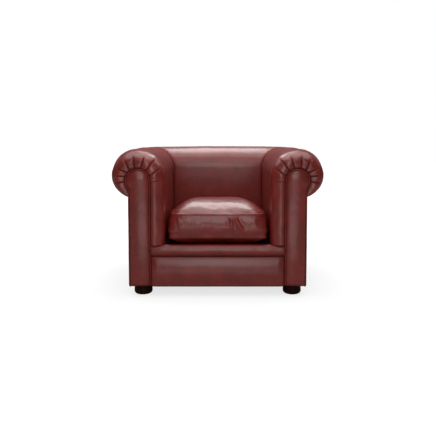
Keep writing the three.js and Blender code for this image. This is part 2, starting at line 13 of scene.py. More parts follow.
import bmesh
import bpy
import numpy as np
from bpy.types import ID, Material, Node, NodeSocket, NodeTree, Object
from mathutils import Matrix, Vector


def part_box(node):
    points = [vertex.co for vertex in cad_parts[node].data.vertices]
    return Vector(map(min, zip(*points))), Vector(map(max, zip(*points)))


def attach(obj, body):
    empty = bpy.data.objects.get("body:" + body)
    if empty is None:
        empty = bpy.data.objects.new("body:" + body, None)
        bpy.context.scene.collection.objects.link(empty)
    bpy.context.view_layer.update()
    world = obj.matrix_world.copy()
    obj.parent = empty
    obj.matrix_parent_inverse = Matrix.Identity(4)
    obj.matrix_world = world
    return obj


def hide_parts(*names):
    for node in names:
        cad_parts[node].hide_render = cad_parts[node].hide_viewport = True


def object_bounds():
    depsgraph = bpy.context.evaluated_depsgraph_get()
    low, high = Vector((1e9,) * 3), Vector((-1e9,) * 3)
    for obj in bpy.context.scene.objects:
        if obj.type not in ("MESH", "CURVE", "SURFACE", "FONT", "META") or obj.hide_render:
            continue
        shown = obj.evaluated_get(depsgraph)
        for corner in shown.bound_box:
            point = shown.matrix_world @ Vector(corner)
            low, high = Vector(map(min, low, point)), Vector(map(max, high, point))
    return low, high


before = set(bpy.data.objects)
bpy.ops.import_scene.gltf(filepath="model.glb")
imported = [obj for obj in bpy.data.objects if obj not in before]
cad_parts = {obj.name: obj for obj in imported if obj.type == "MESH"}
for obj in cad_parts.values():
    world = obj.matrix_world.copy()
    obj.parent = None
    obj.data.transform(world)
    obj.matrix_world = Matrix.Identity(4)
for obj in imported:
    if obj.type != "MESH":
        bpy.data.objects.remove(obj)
CAD_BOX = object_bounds()

LOG = logging.getLogger("armchair")
CHAIR = "chair"
CUSHION = "seat_cushion"
# The point attribute that the leather reads. Up to 0.2 it only makes the leather matt; above that it also
# darkens the colour as painted shade in seams, creases and recesses.
SEAM_SHADE_AND_MATT = "seam_shade_and_matt"
# Points closer together than this, in metres, become one.
MERGE_WITHIN = 2e-6


class Side(Enum):
    """The two sides of the chair, as the sign of x."""

    LEFT = -1
    RIGHT = 1

    @property
    def word(self) -> str:
        """The side's word in piece names."""
        return self.name.lower()

    @property
    def mirror(self) -> np.ndarray:
        """What turns points of the right side into points of this side."""
        return np.array([self.value, 1, 1])


class End(Enum):
    """The two ends of the chair that its feet stand at."""

    FRONT = "front"
    REAR = "rear"


class Slot(Enum):
    """The record's material slots that the finishes stand for."""

    LEATHER = "ox_red_leather"
    BEECH = "frame_hardwood"
    FOAM = "upholstery_foam"
    ZINC = "zinc_steel"
    CLOTH = "woven_cloth"
    ZIP = "zip_tape"
    FOOT = "stained_foot_wood"


# Curves and fields


def smoothstep(low: float, high: float, value: np.ndarray) -> np.ndarray:
    """A smooth rise from 0 at low to 1 at high, 3t^2 - 2t^3.

    Args:
        low: Where the rise starts.
        high: Where it ends; it may lie below low for a fall.
        value: Where it is wanted.

    Returns:
        The height of the rise at each value.
    """
    t = np.clip((value - low) / (high - low), 0.0, 1.0)
    return t * t * (3 - 2 * t)


@dataclass(frozen=True)
class Band:
    """A stretch with soft ends: 0 before it, 1 in it and 0 beyond it, by a smoothstep at each end."""

    rise: tuple[float, float]
    fall: tuple[float, float]

    def at(self, value: np.ndarray) -> np.ndarray:
        """How much each value lies in the stretch, from 0 to 1."""
        return smoothstep(*self.rise, value) * smoothstep(*self.fall[::-1], value)


def clustered(count: int, strength: float) -> np.ndarray:
    """Places from 0 up to 1 that crowd at both ends, t - strength * sin(2 pi t) / (2 pi).

    Args:
        count: How many places, the first at 0 and the last just short of 1.
        strength: 0 for even places, up to 1 for the closest crowd.

    Returns:
        The places.
    """
    t = np.arange(count) / count
    return t - strength * np.sin(2 * np.pi * t) / (2 * np.pi)


def softened(line: np.ndarray, reach: float) -> np.ndarray:
    """A line of evenly spaced points with its corners rounded by a Gaussian mean along its length.

    Args:
        line: Points of the line, one a row.
        reach: The Gaussian's spread, in points.

    Returns:
        The rounded line, with its ends where they were.
    """
    half = int(3 * reach)
    kernel = np.exp(-0.5 * (np.arange(-half, half + 1) / reach) ** 2)
    kernel /= kernel.sum()
    before = 2 * line[0] - line[half:0:-1]
    after = 2 * line[-1] - line[-2:-half - 2:-1]
    padded = np.vstack([before, line, after])
    return np.column_stack([np.convolve(padded[:, i], kernel, "valid") for i in range(line.shape[1])])


def refined(points: np.ndarray, factor: int, closed: bool = False) -> np.ndarray:
    """More points on the same curve, by the cubic through each point and its neighbours (Catmull-Rom).

    Args:
        points: Points along the first axis.
        factor: How many new steps each step is cut into.
        closed: Whether the last point leads back to the first.

    Returns:
        The finer points, which include the old ones.
    """
    count = len(points)
    steps = np.arange(count * factor if closed else (count - 1) * factor + 1) / factor
    start = np.minimum(steps.astype(int), count if closed else count - 2)
    t = (steps - start).reshape(-1, *[1] * (points.ndim - 1))
    near = [start + i for i in (-1, 0, 1, 2)]
    before, here, ahead, beyond = [points[i % count] if closed else points[np.clip(i, 0, count - 1)]
                                   for i in near]
    return 0.5 * (2 * here + (ahead - before) * t + (2 * before - 5 * here + 4 * ahead - beyond) * t ** 2
                  + (3 * here - before - 3 * ahead + beyond) * t ** 3)


def points_at(x: np.ndarray | float, y: np.ndarray | float, z: np.ndarray | float) -> np.ndarray:
    """Points from coordinates that are stretched to one shape, with the coordinates last."""
    return np.stack(np.broadcast_arrays(x, y, z), -1)


def distance_along(points: np.ndarray, axis: int = 0) -> np.ndarray:
    """Distance travelled from the first point of each line of points.

    Args:
        points: Lines of points, with their coordinates last.
        axis: The axis that the lines run along.

    Returns:
        One distance a point.
    """
    steps = np.linalg.norm(np.diff(points, axis=axis), axis=-1)
    start = np.zeros_like(np.take(steps, [0], axis))
    return np.concatenate([start, np.cumsum(steps, axis=axis)], axis=axis)


def grid_normals(points: np.ndarray) -> np.ndarray:
    """Unit normals of a grid, the cross product of its column and row directions.

    Args:
        points: Rows by columns by 3.

    Returns:
        A normal for each point.
    """
    along_rows = np.gradient(points, axis=0)
    along_columns = np.gradient(points, axis=1)
    normals = np.cross(along_columns, along_rows)
    return normals / np.maximum(np.linalg.norm(normals, axis=-1, keepdims=True), 1e-12)


@dataclass(frozen=True)
class Undulation:
    """Soft unevenness of stuffed leather: a seeded sum of plane waves near one wavelength."""

    height: float
    wavelength: float
    seed: int
    waves: int = 14

    def at(self, points: np.ndarray) -> np.ndarray:
        """The height of the unevenness.

        Args:
            points: Any array of points, with their coordinates last.

        Returns:
            One height a point, about +-height.
        """
        rng = np.random.default_rng(self.seed)
        directions = rng.normal(size=(self.waves, 3))
        directions /= np.linalg.norm(directions, axis=1, keepdims=True)
        lengths = self.wavelength * rng.uniform(0.7, 1.6, self.waves)
        phases = rng.uniform(0, 2 * np.pi, self.waves)
        angles = 2 * np.pi * (points @ (directions / lengths[:, None]).T) + phases
        return self.height * np.sqrt(1 / self.waves) * np.sin(angles).sum(-1)


@dataclass(frozen=True)
class Pucker:
    """Gathers of leather along a seam, height * sin(place / fine + swing * sin(place / coarse))."""

    height: float
    fine: float
    coarse: float
    swing: float = 1.0

    def at(self, place: np.ndarray, shift: float = 0.0) -> np.ndarray:
        """The height of the gathers.

        Args:
            place: Distances along the seam.
            shift: How far the waves are shifted, in radians.

        Returns:
            One height a place.
        """
        return self.height * np.sin(place / self.fine + self.swing * np.sin(place / self.coarse) + shift)


# Meshes


def grid_faces(rows: int, columns: int, first: int = 0, wrap: bool = False) -> np.ndarray:
    """Quads of a grid, wound so that a face's normal is column direction x row direction.

    Args:
        rows: Rows of points.
        columns: Columns of points.
        first: Index of the grid's first point.
        wrap: Whether the last column joins the first.

    Returns:
        One quad a row, as point indices.
    """
    r, c = np.meshgrid(np.arange(rows - 1), np.arange(columns if wrap else columns - 1), indexing="ij")
    following = (c + 1) % columns
    quads = [r * columns + c, r * columns + following, (r + 1) * columns + following, (r + 1) * columns + c]
    return first + np.stack(quads, -1).reshape(-1, 4)


def placed(name: str, data: ID) -> Object:
    """Puts a new object in the scene.

    Args:
        name: Its name.
        data: Its mesh, lamp or camera.

    Returns:
        The object.
    """
    obj = bpy.data.objects.new(name, data)
    bpy.context.scene.collection.objects.link(obj)
    return obj


def piece(name: str, points: np.ndarray, faces: list, shade_and_matt: np.ndarray | None = None) -> Object:
    """A closed smooth mesh in the scene, with merged doubles and its faces pointing out.

    Args:
        name: The piece's name.
        points: Its points, one a row.
        faces: Its faces, as lists of point indices.
        shade_and_matt: Painted shade and matt finish at each point, from 0 to 1, mostly near seams.

    Returns:
        The new object.
    """
    mesh = bpy.data.meshes.new(name)
    mesh.from_pydata(points.tolist(), [], faces)
    values = np.zeros(len(points)) if shade_and_matt is None else shade_and_matt
    mesh.attributes.new(SEAM_SHADE_AND_MATT, "FLOAT", "POINT").data.foreach_set("value", values.astype(np.float32))
    soft = bmesh.new()
    soft.from_mesh(mesh)
    bmesh.ops.remove_doubles(soft, verts=soft.verts, dist=MERGE_WITHIN)
    bmesh.ops.recalc_face_normals(soft, faces=soft.faces)
    soft.to_mesh(mesh)
    soft.free()
    mesh.polygons.foreach_set("use_smooth", np.ones(len(mesh.polygons), dtype=bool))
    mesh.update()
    return placed(name, mesh)


def shell(name: str, outer: np.ndarray, inner: np.ndarray, shade_and_matt: np.ndarray | None = None,
          open_start: bool = False) -> Object:
    """Two grids of one size, joined round their edges into a closed wall.

    Args:
        name: The piece's name.
        outer: The outer face, rows by columns by 3.
        inner: The inner face, point for point.
        shade_and_matt: Painted shade and matt finish at each outer point, rows by columns.
        open_start: Whether the first row stays open, because it meets another part of the piece.

    Returns:
        The new object.
    """
    rows, columns = outer.shape[:2]
    count = rows * columns
    index = np.arange(count).reshape(rows, columns)
    edges = [index[0], index[-1], index[:, 0], index[:, -1]]
    faces = [grid_faces(rows, columns), grid_faces(rows, columns, count)[:, ::-1]]
    for edge in edges[int(open_start):]:
        faces.append(np.column_stack([edge[:-1], edge[1:], edge[1:] + count, edge[:-1] + count]))
    points = np.vstack([outer.reshape(-1, 3), inner.reshape(-1, 3)])
    both = None if shade_and_matt is None else np.tile(shade_and_matt.ravel(), 2)
    return piece(name, points, np.vstack(faces).tolist(), both)


def closed_rings(name: str, rings: np.ndarray, shade_and_matt: np.ndarray | None = None) -> Object:
    """Rings of points skinned into a closed body, with a flat cap at each end.

    Args:
        name: The piece's name.
        rings: Rings by points by 3.
        shade_and_matt: Painted shade and matt finish at each point.

    Returns:
        The new object.
    """
    count, around = rings.shape[:2]
    faces = grid_faces(count, around, wrap=True).tolist()
    faces += [list(range(around)), list(range((count - 1) * around, count * around))]
    return piece(name, rings.reshape(-1, 3), faces, None if shade_and_matt is None else shade_and_matt.ravel())


def tube_rings(line: np.ndarray, radius: np.ndarray | float, around: int, up: Sequence[float]) -> np.ndarray:
    """Rings of a round tube: centre + radius * (cos a * side + sin a * up), square to the line.

    Args:
        line: Points of the centre line.
        radius: The tube's radius, one for all or one a point.
        around: Points in each ring.
        up: A direction that the line never runs along.

    Returns:
        Rings by points by 3.
    """
    tangent = np.gradient(line, axis=0)
    tangent /= np.linalg.norm(tangent, axis=1, keepdims=True)
    side = np.cross(tangent, np.array(up, float))
    side /= np.linalg.norm(side, axis=1, keepdims=True)
    over = np.cross(side, tangent)
    angles = np.linspace(0, 2 * np.pi, around, endpoint=False)[None, :, None]
    size = np.broadcast_to(np.asarray(radius, float), len(line))[:, None, None]
    return line[:, None] + size * (np.cos(angles) * side[:, None] + np.sin(angles) * over[:, None])


# Finishes


def linear(code: str) -> tuple[float, float, float, float]:
    """A colour written as sRGB hex, in linear light.

    Args:
        code: Six hex digits after a hash.

    Returns:
        Red, green, blue and an alpha of 1.
    """
    srgb = np.array([int(code[i:i + 2], 16) for i in (1, 3, 5)]) / 255
    light = np.where(srgb <= 0.04045, srgb / 12.92, ((srgb + 0.055) / 1.055) ** 2.4)
    return (*light.tolist(), 1.0)


def add_node(tree: NodeTree, kind: str, inputs: dict | None = None, **settings) -> Node:
    """A node with its settings, values and links.

    Args:
        tree: The tree that it goes into.
        kind: The node's type, without the ShaderNode that it starts with.
        inputs: For each socket, its name or number with a value, with an output socket to link, or
            with a node whose first output in use is linked.
        settings: The node's own properties.

    Returns:
        The new node.
    """
    node = tree.nodes.new("ShaderNode" + kind)
    for key, value in settings.items():
        setattr(node, key, value)
    for key, value in (inputs or {}).items():
        if isinstance(value, Node):
            value = next(output for output in value.outputs if output.enabled)
        if isinstance(value, NodeSocket):
            tree.links.new(value, node.inputs[key])
        else:
            node.inputs[key].default_value = value
    return node


def new_material(name: str) -> tuple[Material, NodeTree, NodeSocket]:
    """An empty node material.

    Args:
        name: The material's name.

    Returns:
        The material, its tree, and the place on the piece that its textures follow.
    """
    material = bpy.data.materials.new(name)
    material.use_nodes = True
    material.node_tree.nodes.clear()
    place = add_node(material.node_tree, "TexCoord").outputs["Object"]
    return material, material.node_tree, place


def surfaced(material: Material, shader: Node) -> Material:
    """A material with its surface.

    Args:
        material: The material.
        shader: The shader that its surface shows.

    Returns:
        The same material.
    """
    add_node(material.node_tree, "OutputMaterial", {"Surface": shader})
    return material


@dataclass(frozen=True)
class GlazedLeather:
    """Full-grain cow hide, drum dyed ox red, rubbed darker by hand and glazed.

    To the eye: a deep brownish red that is cloudy rather than even, a fine pebble grain, and a soft gloss
    that whitens where it meets the light. Along seams, in pleats and in other recesses it is darkened
    towards nearly black red, which is painted shade. Near seams, on the arms' inner slopes and low on the
    back, where the glaze is thin or rubbed off, it is duller; on the slopes it also takes a little painted
    shade.
    """

    name: str = "glazed_ox_red_hide"
    body: str = "#731A14"
    light: str = "#84281E"
    deep: str = "#5E130D"
    # The dark red that seams, creases and recesses are pulled towards: painted shade.
    seam: str = "#2A0A07"
    cloud_mm: float = 70.0
    speck_mm: float = 7.0
    grain_mm: float = 2.6
    crease_mm: float = 24.0
    roughness: float = 0.37
    specular: float = 0.32
    coat: float = 0.75
    coat_roughness: float = 0.24
    ior: float = 1.5
    # Up to this amount of the point attribute the leather only turns matt; beyond it the colour also takes
    # painted shade.
    shade_onset: float = 0.2
    matt_roughness: float = 0.68
    cloud_range: tuple[float, float] = (0.36, 0.64)
    speck_range: tuple[float, float] = (0.3, 0.72)
    speck_share: float = 0.6
    gloss_spread: tuple[float, float] = (-0.07, 0.09)
    pebble_edge: float = 0.35
    pebble_height: float = 0.0003
    crease_height: float = 0.0009

    def build(self) -> Material:
        """Builds its nodes.

        Returns:
            The leather's material.
        """
        material, tree, place = new_material(self.name)
        shade_and_matt = add_node(tree, "Attribute", attribute_name=SEAM_SHADE_AND_MATT).outputs["Fac"]
        cloud, speck, creases = [
            add_node(tree, "TexNoise", {
                "Vector": place, "Scale": 1000 / size_mm, "Detail": detail, "Roughness": breakup})
            for size_mm, detail, breakup in ((self.cloud_mm, 3.0, 0.55), (self.speck_mm, 4.0, 0.7),
                                             (self.crease_mm, 5.0, 0.6))]
        # A pebble is really about 1 mm across; it is drawn coarser so that it shows.
        grain = add_node(tree, "TexVoronoi", {"Vector": place, "Scale": 1000 / self.grain_mm},
                         feature="DISTANCE_TO_EDGE")
        clouded = add_node(tree, "MapRange", {
            "Value": cloud, "From Min": self.cloud_range[0], "From Max": self.cloud_range[1]})
        specked = add_node(tree, "MapRange", {
            "Value": speck, "From Min": self.speck_range[0], "From Max": self.speck_range[1],
            "To Max": self.speck_share})
        # Painted shade: past the onset, the colour is pulled towards the dark seam red.
        painted_shade = add_node(tree, "MapRange", {"Value": shade_and_matt, "From Min": self.shade_onset})
        colour = linear(self.deep)
        for share, shade in ((clouded, self.body), (specked, self.light), (painted_shade, self.seam)):
            colour = add_node(tree, "Mix", {0: share, 6: colour, 7: linear(shade)}, data_type="RGBA")
        gloss = add_node(tree, "MapRange", {
            "Value": speck, "To Min": self.roughness + self.gloss_spread[0],
            "To Max": self.roughness + self.gloss_spread[1]})
        matt = add_node(tree, "MapRange", {"Value": shade_and_matt, "From Max": self.shade_onset})
        dulled = add_node(tree, "Mix", {0: matt, 2: gloss, 3: self.matt_roughness}, data_type="FLOAT")
        glaze = add_node(tree, "MapRange", {"Value": matt, "To Min": self.coat, "To Max": 0.0})
        pebble = add_node(tree, "MapRange", {"Value": grain, "From Max": self.pebble_edge})
        folds = add_node(tree, "Bump", {
            "Strength": 0.25, "Distance": self.crease_height, "Height": creases})
        bump = add_node(tree, "Bump", {
            "Strength": 0.22, "Distance": self.pebble_height, "Height": pebble, "Normal": folds})
        return surfaced(material, add_node(tree, "BsdfPrincipled", {
            "Base Color": colour, "Roughness": dulled, "IOR": self.ior, "Specular IOR Level": self.specular,
            "Coat Weight": glaze, "Coat Roughness": self.coat_roughness, "Normal": bump}))


@dataclass(frozen=True)
class LacqueredFoot:
    """Turned beech, stained almost black and given a satin lacquer: faint long grain under a soft gloss."""

    name: str = "lacquered_foot_wood"
    dark: str = "#170504"
    brown: str = "#2E0E09"
    grain_mm: float = 3.0
    stretch: float = 9.0
    grain_height: float = 0.0002
    roughness: float = 0.42
    specular: float = 0.1

    def build(self) -> Material:
        """Builds its nodes.

        Returns:
            The foot's material.
        """
        material, tree, place = new_material(self.name)
        scaled = add_node(tree, "Mapping", {"Vector": place, "Scale": (1.0, 1.0, 1 / self.stretch)})
        grain = add_node(tree, "TexNoise", {
            "Vector": scaled, "Scale": 1000 / self.grain_mm, "Detail": 4.0, "Distortion": 0.6})
        tone = add_node(tree, "MapRange", {"Value": grain, "From Min": 0.35, "From Max": 0.7})
        colour = add_node(tree, "Mix", {
            0: tone, 6: linear(self.dark), 7: linear(self.brown)}, data_type="RGBA")
        bump = add_node(tree, "Bump", {"Strength": 0.2, "Distance": self.grain_height, "Height": grain})
        return surfaced(material, add_node(tree, "BsdfPrincipled", {
            "Base Color": colour, "Roughness": self.roughness, "Specular IOR Level": self.specular,
            "Normal": bump}))


@dataclass(frozen=True)
class PlanedBeech:
    """Planed, unfinished beech of the frame: pale straw with short darker flecks along the board."""

    name: str = "planed_beech"
    pale: str = "#CDAA78"
    fleck: str = "#A67C4C"
    grain_mm: float = 9.0
    rings_a_grain: float = 6.0
    fleck_mm: float = 2.0
    fleck_height: float = 0.0003
    along: tuple[float, float, float] = (0.35, 0.12, 1.0)
    roughness: float = 0.62

    def build(self) -> Material:
        """Builds its nodes.

        Returns:
            The beech's material.
        """
        material, tree, place = new_material(self.name)
        along = add_node(tree, "Mapping", {"Vector": place, "Scale": self.along})
        rings = add_node(tree, "TexWave", {
            "Vector": along, "Scale": 1000 / self.grain_mm / self.rings_a_grain, "Distortion": 3.0,
            "Detail": 3.0}, bands_direction="Z")
        flecks = add_node(tree, "TexNoise", {"Vector": along, "Scale": 1000 / self.fleck_mm, "Detail": 2.0})
        tone = add_node(tree, "Math", {0: rings.outputs["Fac"], 1: flecks}, operation="MULTIPLY")
        colour = add_node(tree, "Mix", {
            0: tone, 6: linear(self.pale), 7: linear(self.fleck)}, data_type="RGBA")
        bump = add_node(tree, "Bump", {"Strength": 0.15, "Distance": self.fleck_height, "Height": flecks})
        return surfaced(material, add_node(tree, "BsdfPrincipled", {
            "Base Color": colour, "Roughness": self.roughness, "Normal": bump}))


@dataclass(frozen=True)
class CutFoam:
    """Polyurethane foam, cut with a wire: matt cream with open cells of a millimetre or so."""

    name: str = "cut_foam"
    cream: str = "#E6DCB4"
    shade: str = "#C9BB8C"
    cell_mm: float = 1.8
    cell_depth: float = 0.0005
    roughness: float = 0.92

    def build(self) -> Material:
        """Builds its nodes.

        Returns:
            The foam's material.
        """
        material, tree, place = new_material(self.name)
        cells = add_node(tree, "TexVoronoi", {"Vector": place, "Scale": 1000 / self.cell_mm})
        colour = add_node(tree, "Mix", {
            0: cells, 6: linear(self.shade), 7: linear(self.cream)}, data_type="RGBA")
        bump = add_node(tree, "Bump", {"Strength": 0.4, "Distance": self.cell_depth, "Height": cells})
        return surfaced(material, add_node(tree, "BsdfPrincipled", {
            "Base Color": colour, "Roughness": self.roughness, "Normal": bump}))


@dataclass(frozen=True)
class ZincSteel:
    """Drawn steel with bright zinc plating: cool grey, with slightly cloudy gloss."""

    name: str = "zinc_plated_steel"
    zinc: str = "#A4A8AC"
    cloud_mm: float = 6.0
    roughness: tuple[float, float] = (0.28, 0.5)

    def build(self) -> Material:
        """Builds its nodes.

        Returns:
            The steel's material.
        """
        material, tree, place = new_material(self.name)
        cloud = add_node(tree, "TexNoise", {"Vector": place, "Scale": 1000 / self.cloud_mm, "Detail": 3.0})
        rough = add_node(tree, "MapRange", {
            "Value": cloud, "To Min": self.roughness[0], "To Max": self.roughness[1]})
        return surfaced(material, add_node(tree, "BsdfPrincipled", {
            "Base Color": linear(self.zinc), "Metallic": 1.0, "Roughness": rough}))


@dataclass(frozen=True)
class PlainWeave:
    """A plain woven cloth: two sets of threads that pass over and under each other, with no gloss."""

    name: str
    thread: str
    gap: str
    thread_mm: float = 1.6
    threads_a_wave: float = 3.2
    thread_height: float = 0.0004
    roughness: float = 0.95
    specular: float = 0.15
    sheen: float = 0.1
    sheen_roughness: float = 0.5

    def build(self) -> Material:
        """Builds its nodes.

        Returns:
            The cloth's material.
        """
        material, tree, place = new_material(self.name)
        scale = 1000 / self.thread_mm / self.threads_a_wave
        warp, weft = [
            add_node(tree, "TexWave", {"Vector": place, "Scale": scale, "Distortion": 0.6},
                     bands_direction=direction) for direction in "XY"]
        weave = add_node(tree, "Math", {
            0: warp.outputs["Fac"], 1: weft.outputs["Fac"]}, operation="MAXIMUM")
        colour = add_node(tree, "Mix", {
            0: weave, 6: linear(self.gap), 7: linear(self.thread)}, data_type="RGBA")
        bump = add_node(tree, "Bump", {"Strength": 0.5, "Distance": self.thread_height, "Height": weave})
        return surfaced(material, add_node(tree, "BsdfPrincipled", {
            "Base Color": colour, "Roughness": self.roughness, "Sheen Weight": self.sheen,
            "Sheen Roughness": self.sheen_roughness, "Specular IOR Level": self.specular, "Normal": bump}))


FINISHES = {
    Slot.LEATHER: GlazedLeather(),
    Slot.BEECH: PlanedBeech(),
    Slot.FOAM: CutFoam(),
    Slot.ZINC: ZincSteel(),
    Slot.CLOTH: PlainWeave("black_lining_cloth", "#160C0A", "#070403", sheen=0.0),
    Slot.ZIP: PlainWeave("zip_tape", "#4A1C17", "#220A08", thread_mm=0.9),
    Slot.FOOT: LacqueredFoot(),
}


@cache
def finish(slot: Slot) -> Material:
    """The material of a slot's finish, made once."""
    return FINISHES[slot].build()


def dress(obj: Object, slot: Slot, body: str = CHAIR, replaces: Sequence[str] = ()) -> None:
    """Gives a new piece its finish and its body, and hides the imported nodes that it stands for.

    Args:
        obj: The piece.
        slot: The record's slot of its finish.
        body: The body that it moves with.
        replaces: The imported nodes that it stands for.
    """
    obj.data.materials.clear()
    obj.data.materials.append(finish(slot))
    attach(obj, body)
    if replaces:
        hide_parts(*replaces)
    LOG.info("%s: %d points, rides on %s", obj.name, len(obj.data.vertices), body)


# Shared shape


@dataclass(frozen=True)
class Plan:
    """Places that every sub-assembly shares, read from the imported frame."""

    seat_half: float
    body_half: float
    reach: float
    front: float
    inner_back: float
    top: float
    cover_bottom: float
    tuck: float
    underside: float
    board_front: float
    body_corner: float = 0.020
    roll_corner: float = 0.085

    @classmethod
    def from_frame(cls) -> "Plan":
        """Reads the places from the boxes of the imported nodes.

        Returns:
            The plan.
        """
        arm_low, arm_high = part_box("inside_arm_cover_right")
        back_low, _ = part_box("inside_back_cover")
        panel_low, panel_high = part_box("outside_arm_cover_right")
        board_low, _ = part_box("arm_front_board_right")
        return cls(seat_half=arm_low.x, body_half=panel_high.x, reach=arm_high.x - arm_low.x,
                   front=CAD_BOX[0].y, inner_back=back_low.y, top=arm_high.z, cover_bottom=arm_low.z,
                   tuck=panel_high.z, underside=panel_low.z, board_front=board_low.y)

    @property
    def thickness(self) -> float:
        """From the inside face to the outside panel."""
        return self.body_half - self.seat_half

    def corner_radius(self, u: np.ndarray) -> np.ndarray:
        """How round the rear corner is in plan: small at the body, large at the rolls' outermost line.

        Args:
            u: Distance out from the inside face.

        Returns:
            The radius in plan.
        """
        body = self.body_corner * np.clip(u / self.thickness, 0, 1)
        roll = np.clip((u - self.thickness) / (self.reach - self.thickness), 0, 1)
        return body + (self.roll_corner - self.body_corner) * roll

    def round_corner(self, u: np.ndarray, turn: np.ndarray) -> tuple[np.ndarray, np.ndarray]:
        """A point of the quarter circle that joins arm and back, from one of its two ends.

        With radius r, the point lies r * (1 - cos turn) short of u, and r * (1 - sin turn) short of
        the corner along the run.

        Args:
            u: Distance outwards from the inside face.
            turn: Angle from the straight run, up to an eighth of a circle at the mitre.

        Returns:
            Distance outwards, and distance short of the corner along the run.
        """
        radius = self.corner_radius(u)
        return u - radius * (1 - np.cos(turn)), radius * (1 - np.sin(turn))


@dataclass(frozen=True)
class RollSection:
    """The section that arms and back share.

    A station from 0 to 1 runs up the inside face, 1 to 2 over the inner quarter of the roll, an
    ellipse, and 2 to 3 round the outer circle to the line where the leather tucks in.
    """

    plan: Plan
    radius: float = 0.126

    @property
    def centre(self) -> tuple[float, float]:
        """The roll's centre."""
        return self.plan.reach - self.radius, self.plan.top - self.radius

    @property
    def tuck_angle(self) -> float:
        """The angle at which the outer circle meets the outside panel."""
        return -float(np.arccos((self.plan.thickness - self.centre[0]) / self.radius))

    def at(self, station: np.ndarray, inset: float = 0.0) -> tuple[np.ndarray, np.ndarray]:
        """Points of the section.

        On the roll, u = centre + width * cos a and z = centre + radius * sin a, where a falls from
        half a turn to the tuck angle.

        Args:
            station: Where along the section.
            inset: How far inside the outer skin.

        Returns:
            u and z.
        """
        centre_u, centre_z = self.centre
        quarter = np.pi - np.pi / 2 * np.clip(station - 1, 0, 1)
        angle = quarter + (self.tuck_angle - np.pi / 2) * np.clip(station - 2, 0, 1)
        width = np.where(station <= 2, centre_u - inset, self.radius - inset)
        rise = self.plan.cover_bottom + (centre_z - self.plan.cover_bottom) * np.clip(station, 0, 1)
        u = np.where(station <= 1, inset, centre_u + width * np.cos(angle))
        z = np.where(station <= 1, rise, centre_z + (self.radius - inset) * np.sin(angle))
        return u, z


@dataclass(frozen=True)
class Mitre:
    """The seam across each rear corner, where the roll of an arm meets the roll of the back.

    With m the distance to the seam, the leather sinks into it by groove * exp(-m / groove_width). On
    the roll's outer half it is gathered in waves of gather * sin(run / wave) * exp(-m / gather_reach).
    """

    plan: Plan
    gather: float = 0.0008
    wave: float = 0.0105
    gather_reach: float = 0.022
    groove: float = 0.0022
    groove_width: float = 0.005
    # Reach of the painted shade and matt leather along the seam.
    shade_width: float = 0.004
    outer_half: Band = Band((1.7, 2.1), (2.6, 2.95))

    def distance(self, skin: np.ndarray) -> np.ndarray:
        """How far each point of a skin lies from the nearer of the two seams."""
        beyond = np.abs(skin[..., 0]) - self.plan.seat_half - (skin[..., 1] - self.plan.inner_back)
        return np.abs(beyond) / np.sqrt(2)

    def relief(self, distance: np.ndarray, run: np.ndarray, station: np.ndarray) -> np.ndarray:
        """The height of the gathers less the depth of the groove.

        Args:
            distance: How far each point lies from the seam.
            run: How far round the section each point lies.
            station: The section's station of each column.

        Returns:
            One height a point.
        """
        gathers = self.gather * np.sin(run / self.wave) * np.exp(-distance / self.gather_reach)
        return gathers * self.outer_half.at(station) - self.groove * np.exp(-distance / self.groove_width)

    def shade_and_matt(self, distance: np.ndarray) -> np.ndarray:
        """How near each point is to the seam, from 0 to 1: it sets the painted shade and matt of the seam's
        groove.
        """
        return np.exp(-distance / self.shade_width)


class KeyholeLine:
    """The outline of the arm's facing: up its inner edge, round the head, in at the neck and down.

    A station from 0 to 1 runs up the inner edge, 1 to 2 round the head and 2 to 3 down from the neck.
    """

    steps: int = 600

    def __init__(self, plan: Plan, foot: float, end: float, outset: float = 0.0, inner_edge: float = 0.072,
                 head_bulge: float = 0.015, ring_height: float = 0.094, softness: float = 0.006) -> None:
        """Works out the line once, with its neck rounded.

        Args:
            plan: The shared places.
            foot: Height of the inner edge's lower end.
            end: Height at which the outer edge ends.
            outset: How far outside the facing's own outline the line runs.
            inner_edge: From the arm's inside face to the facing.
            head_bulge: How far the head stands past the arm's outside.
            ring_height: From the head's top to the top of the arm.
            softness: How far the neck's corner is rounded.
        """
        head_radius = (plan.thickness - inner_edge + head_bulge) / 2
        self.head_u = inner_edge + head_radius
        self.head_z = plan.top - ring_height - head_radius
        radius = head_radius + outset
        neck = -np.arccos((plan.thickness + outset - self.head_u) / radius)
        neck_z = self.head_z + radius * np.sin(neck)
        station = np.linspace(0, 3, 3 * self.steps + 1)
        angle = np.pi + (neck - np.pi) * np.clip(station - 1, 0, 1)
        up = foot + (self.head_z - foot) * np.clip(station, 0, 1)
        down = neck_z + (end - neck_z) * np.clip(station - 2, 0, 1)
        u = np.where(station <= 1, inner_edge - outset, self.head_u + radius * np.cos(angle))
        z = np.where(station <= 1, up, np.where(station <= 2, self.head_z + radius * np.sin(angle), down))
        line = np.column_stack([u, z])
        run = distance_along(line)
        even = np.linspace(0, run[-1], len(line))
        spaced = np.column_stack([np.interp(even, run, line[:, i]) for i in range(2)])
        self.line = softened(spaced, softness / (run[-1] / len(line)))
        self.station = np.interp(even, run, station)

    def at(self, station: np.ndarray) -> tuple[np.ndarray, np.ndarray]:
        """Points of the line.

        Args:
            station: Where along the line.

        Returns:
            u and z.
        """
        return tuple(np.interp(station, self.station, self.line[:, i]) for i in range(2))


# Arms


@dataclass(frozen=True)
class Pleat:
    """One fold of the scroll front: where it starts on the piping, where it aims, and how far it runs."""

    lip_station: float
    roll_station: float
    length_share: float
    depth_share: float = 1.0


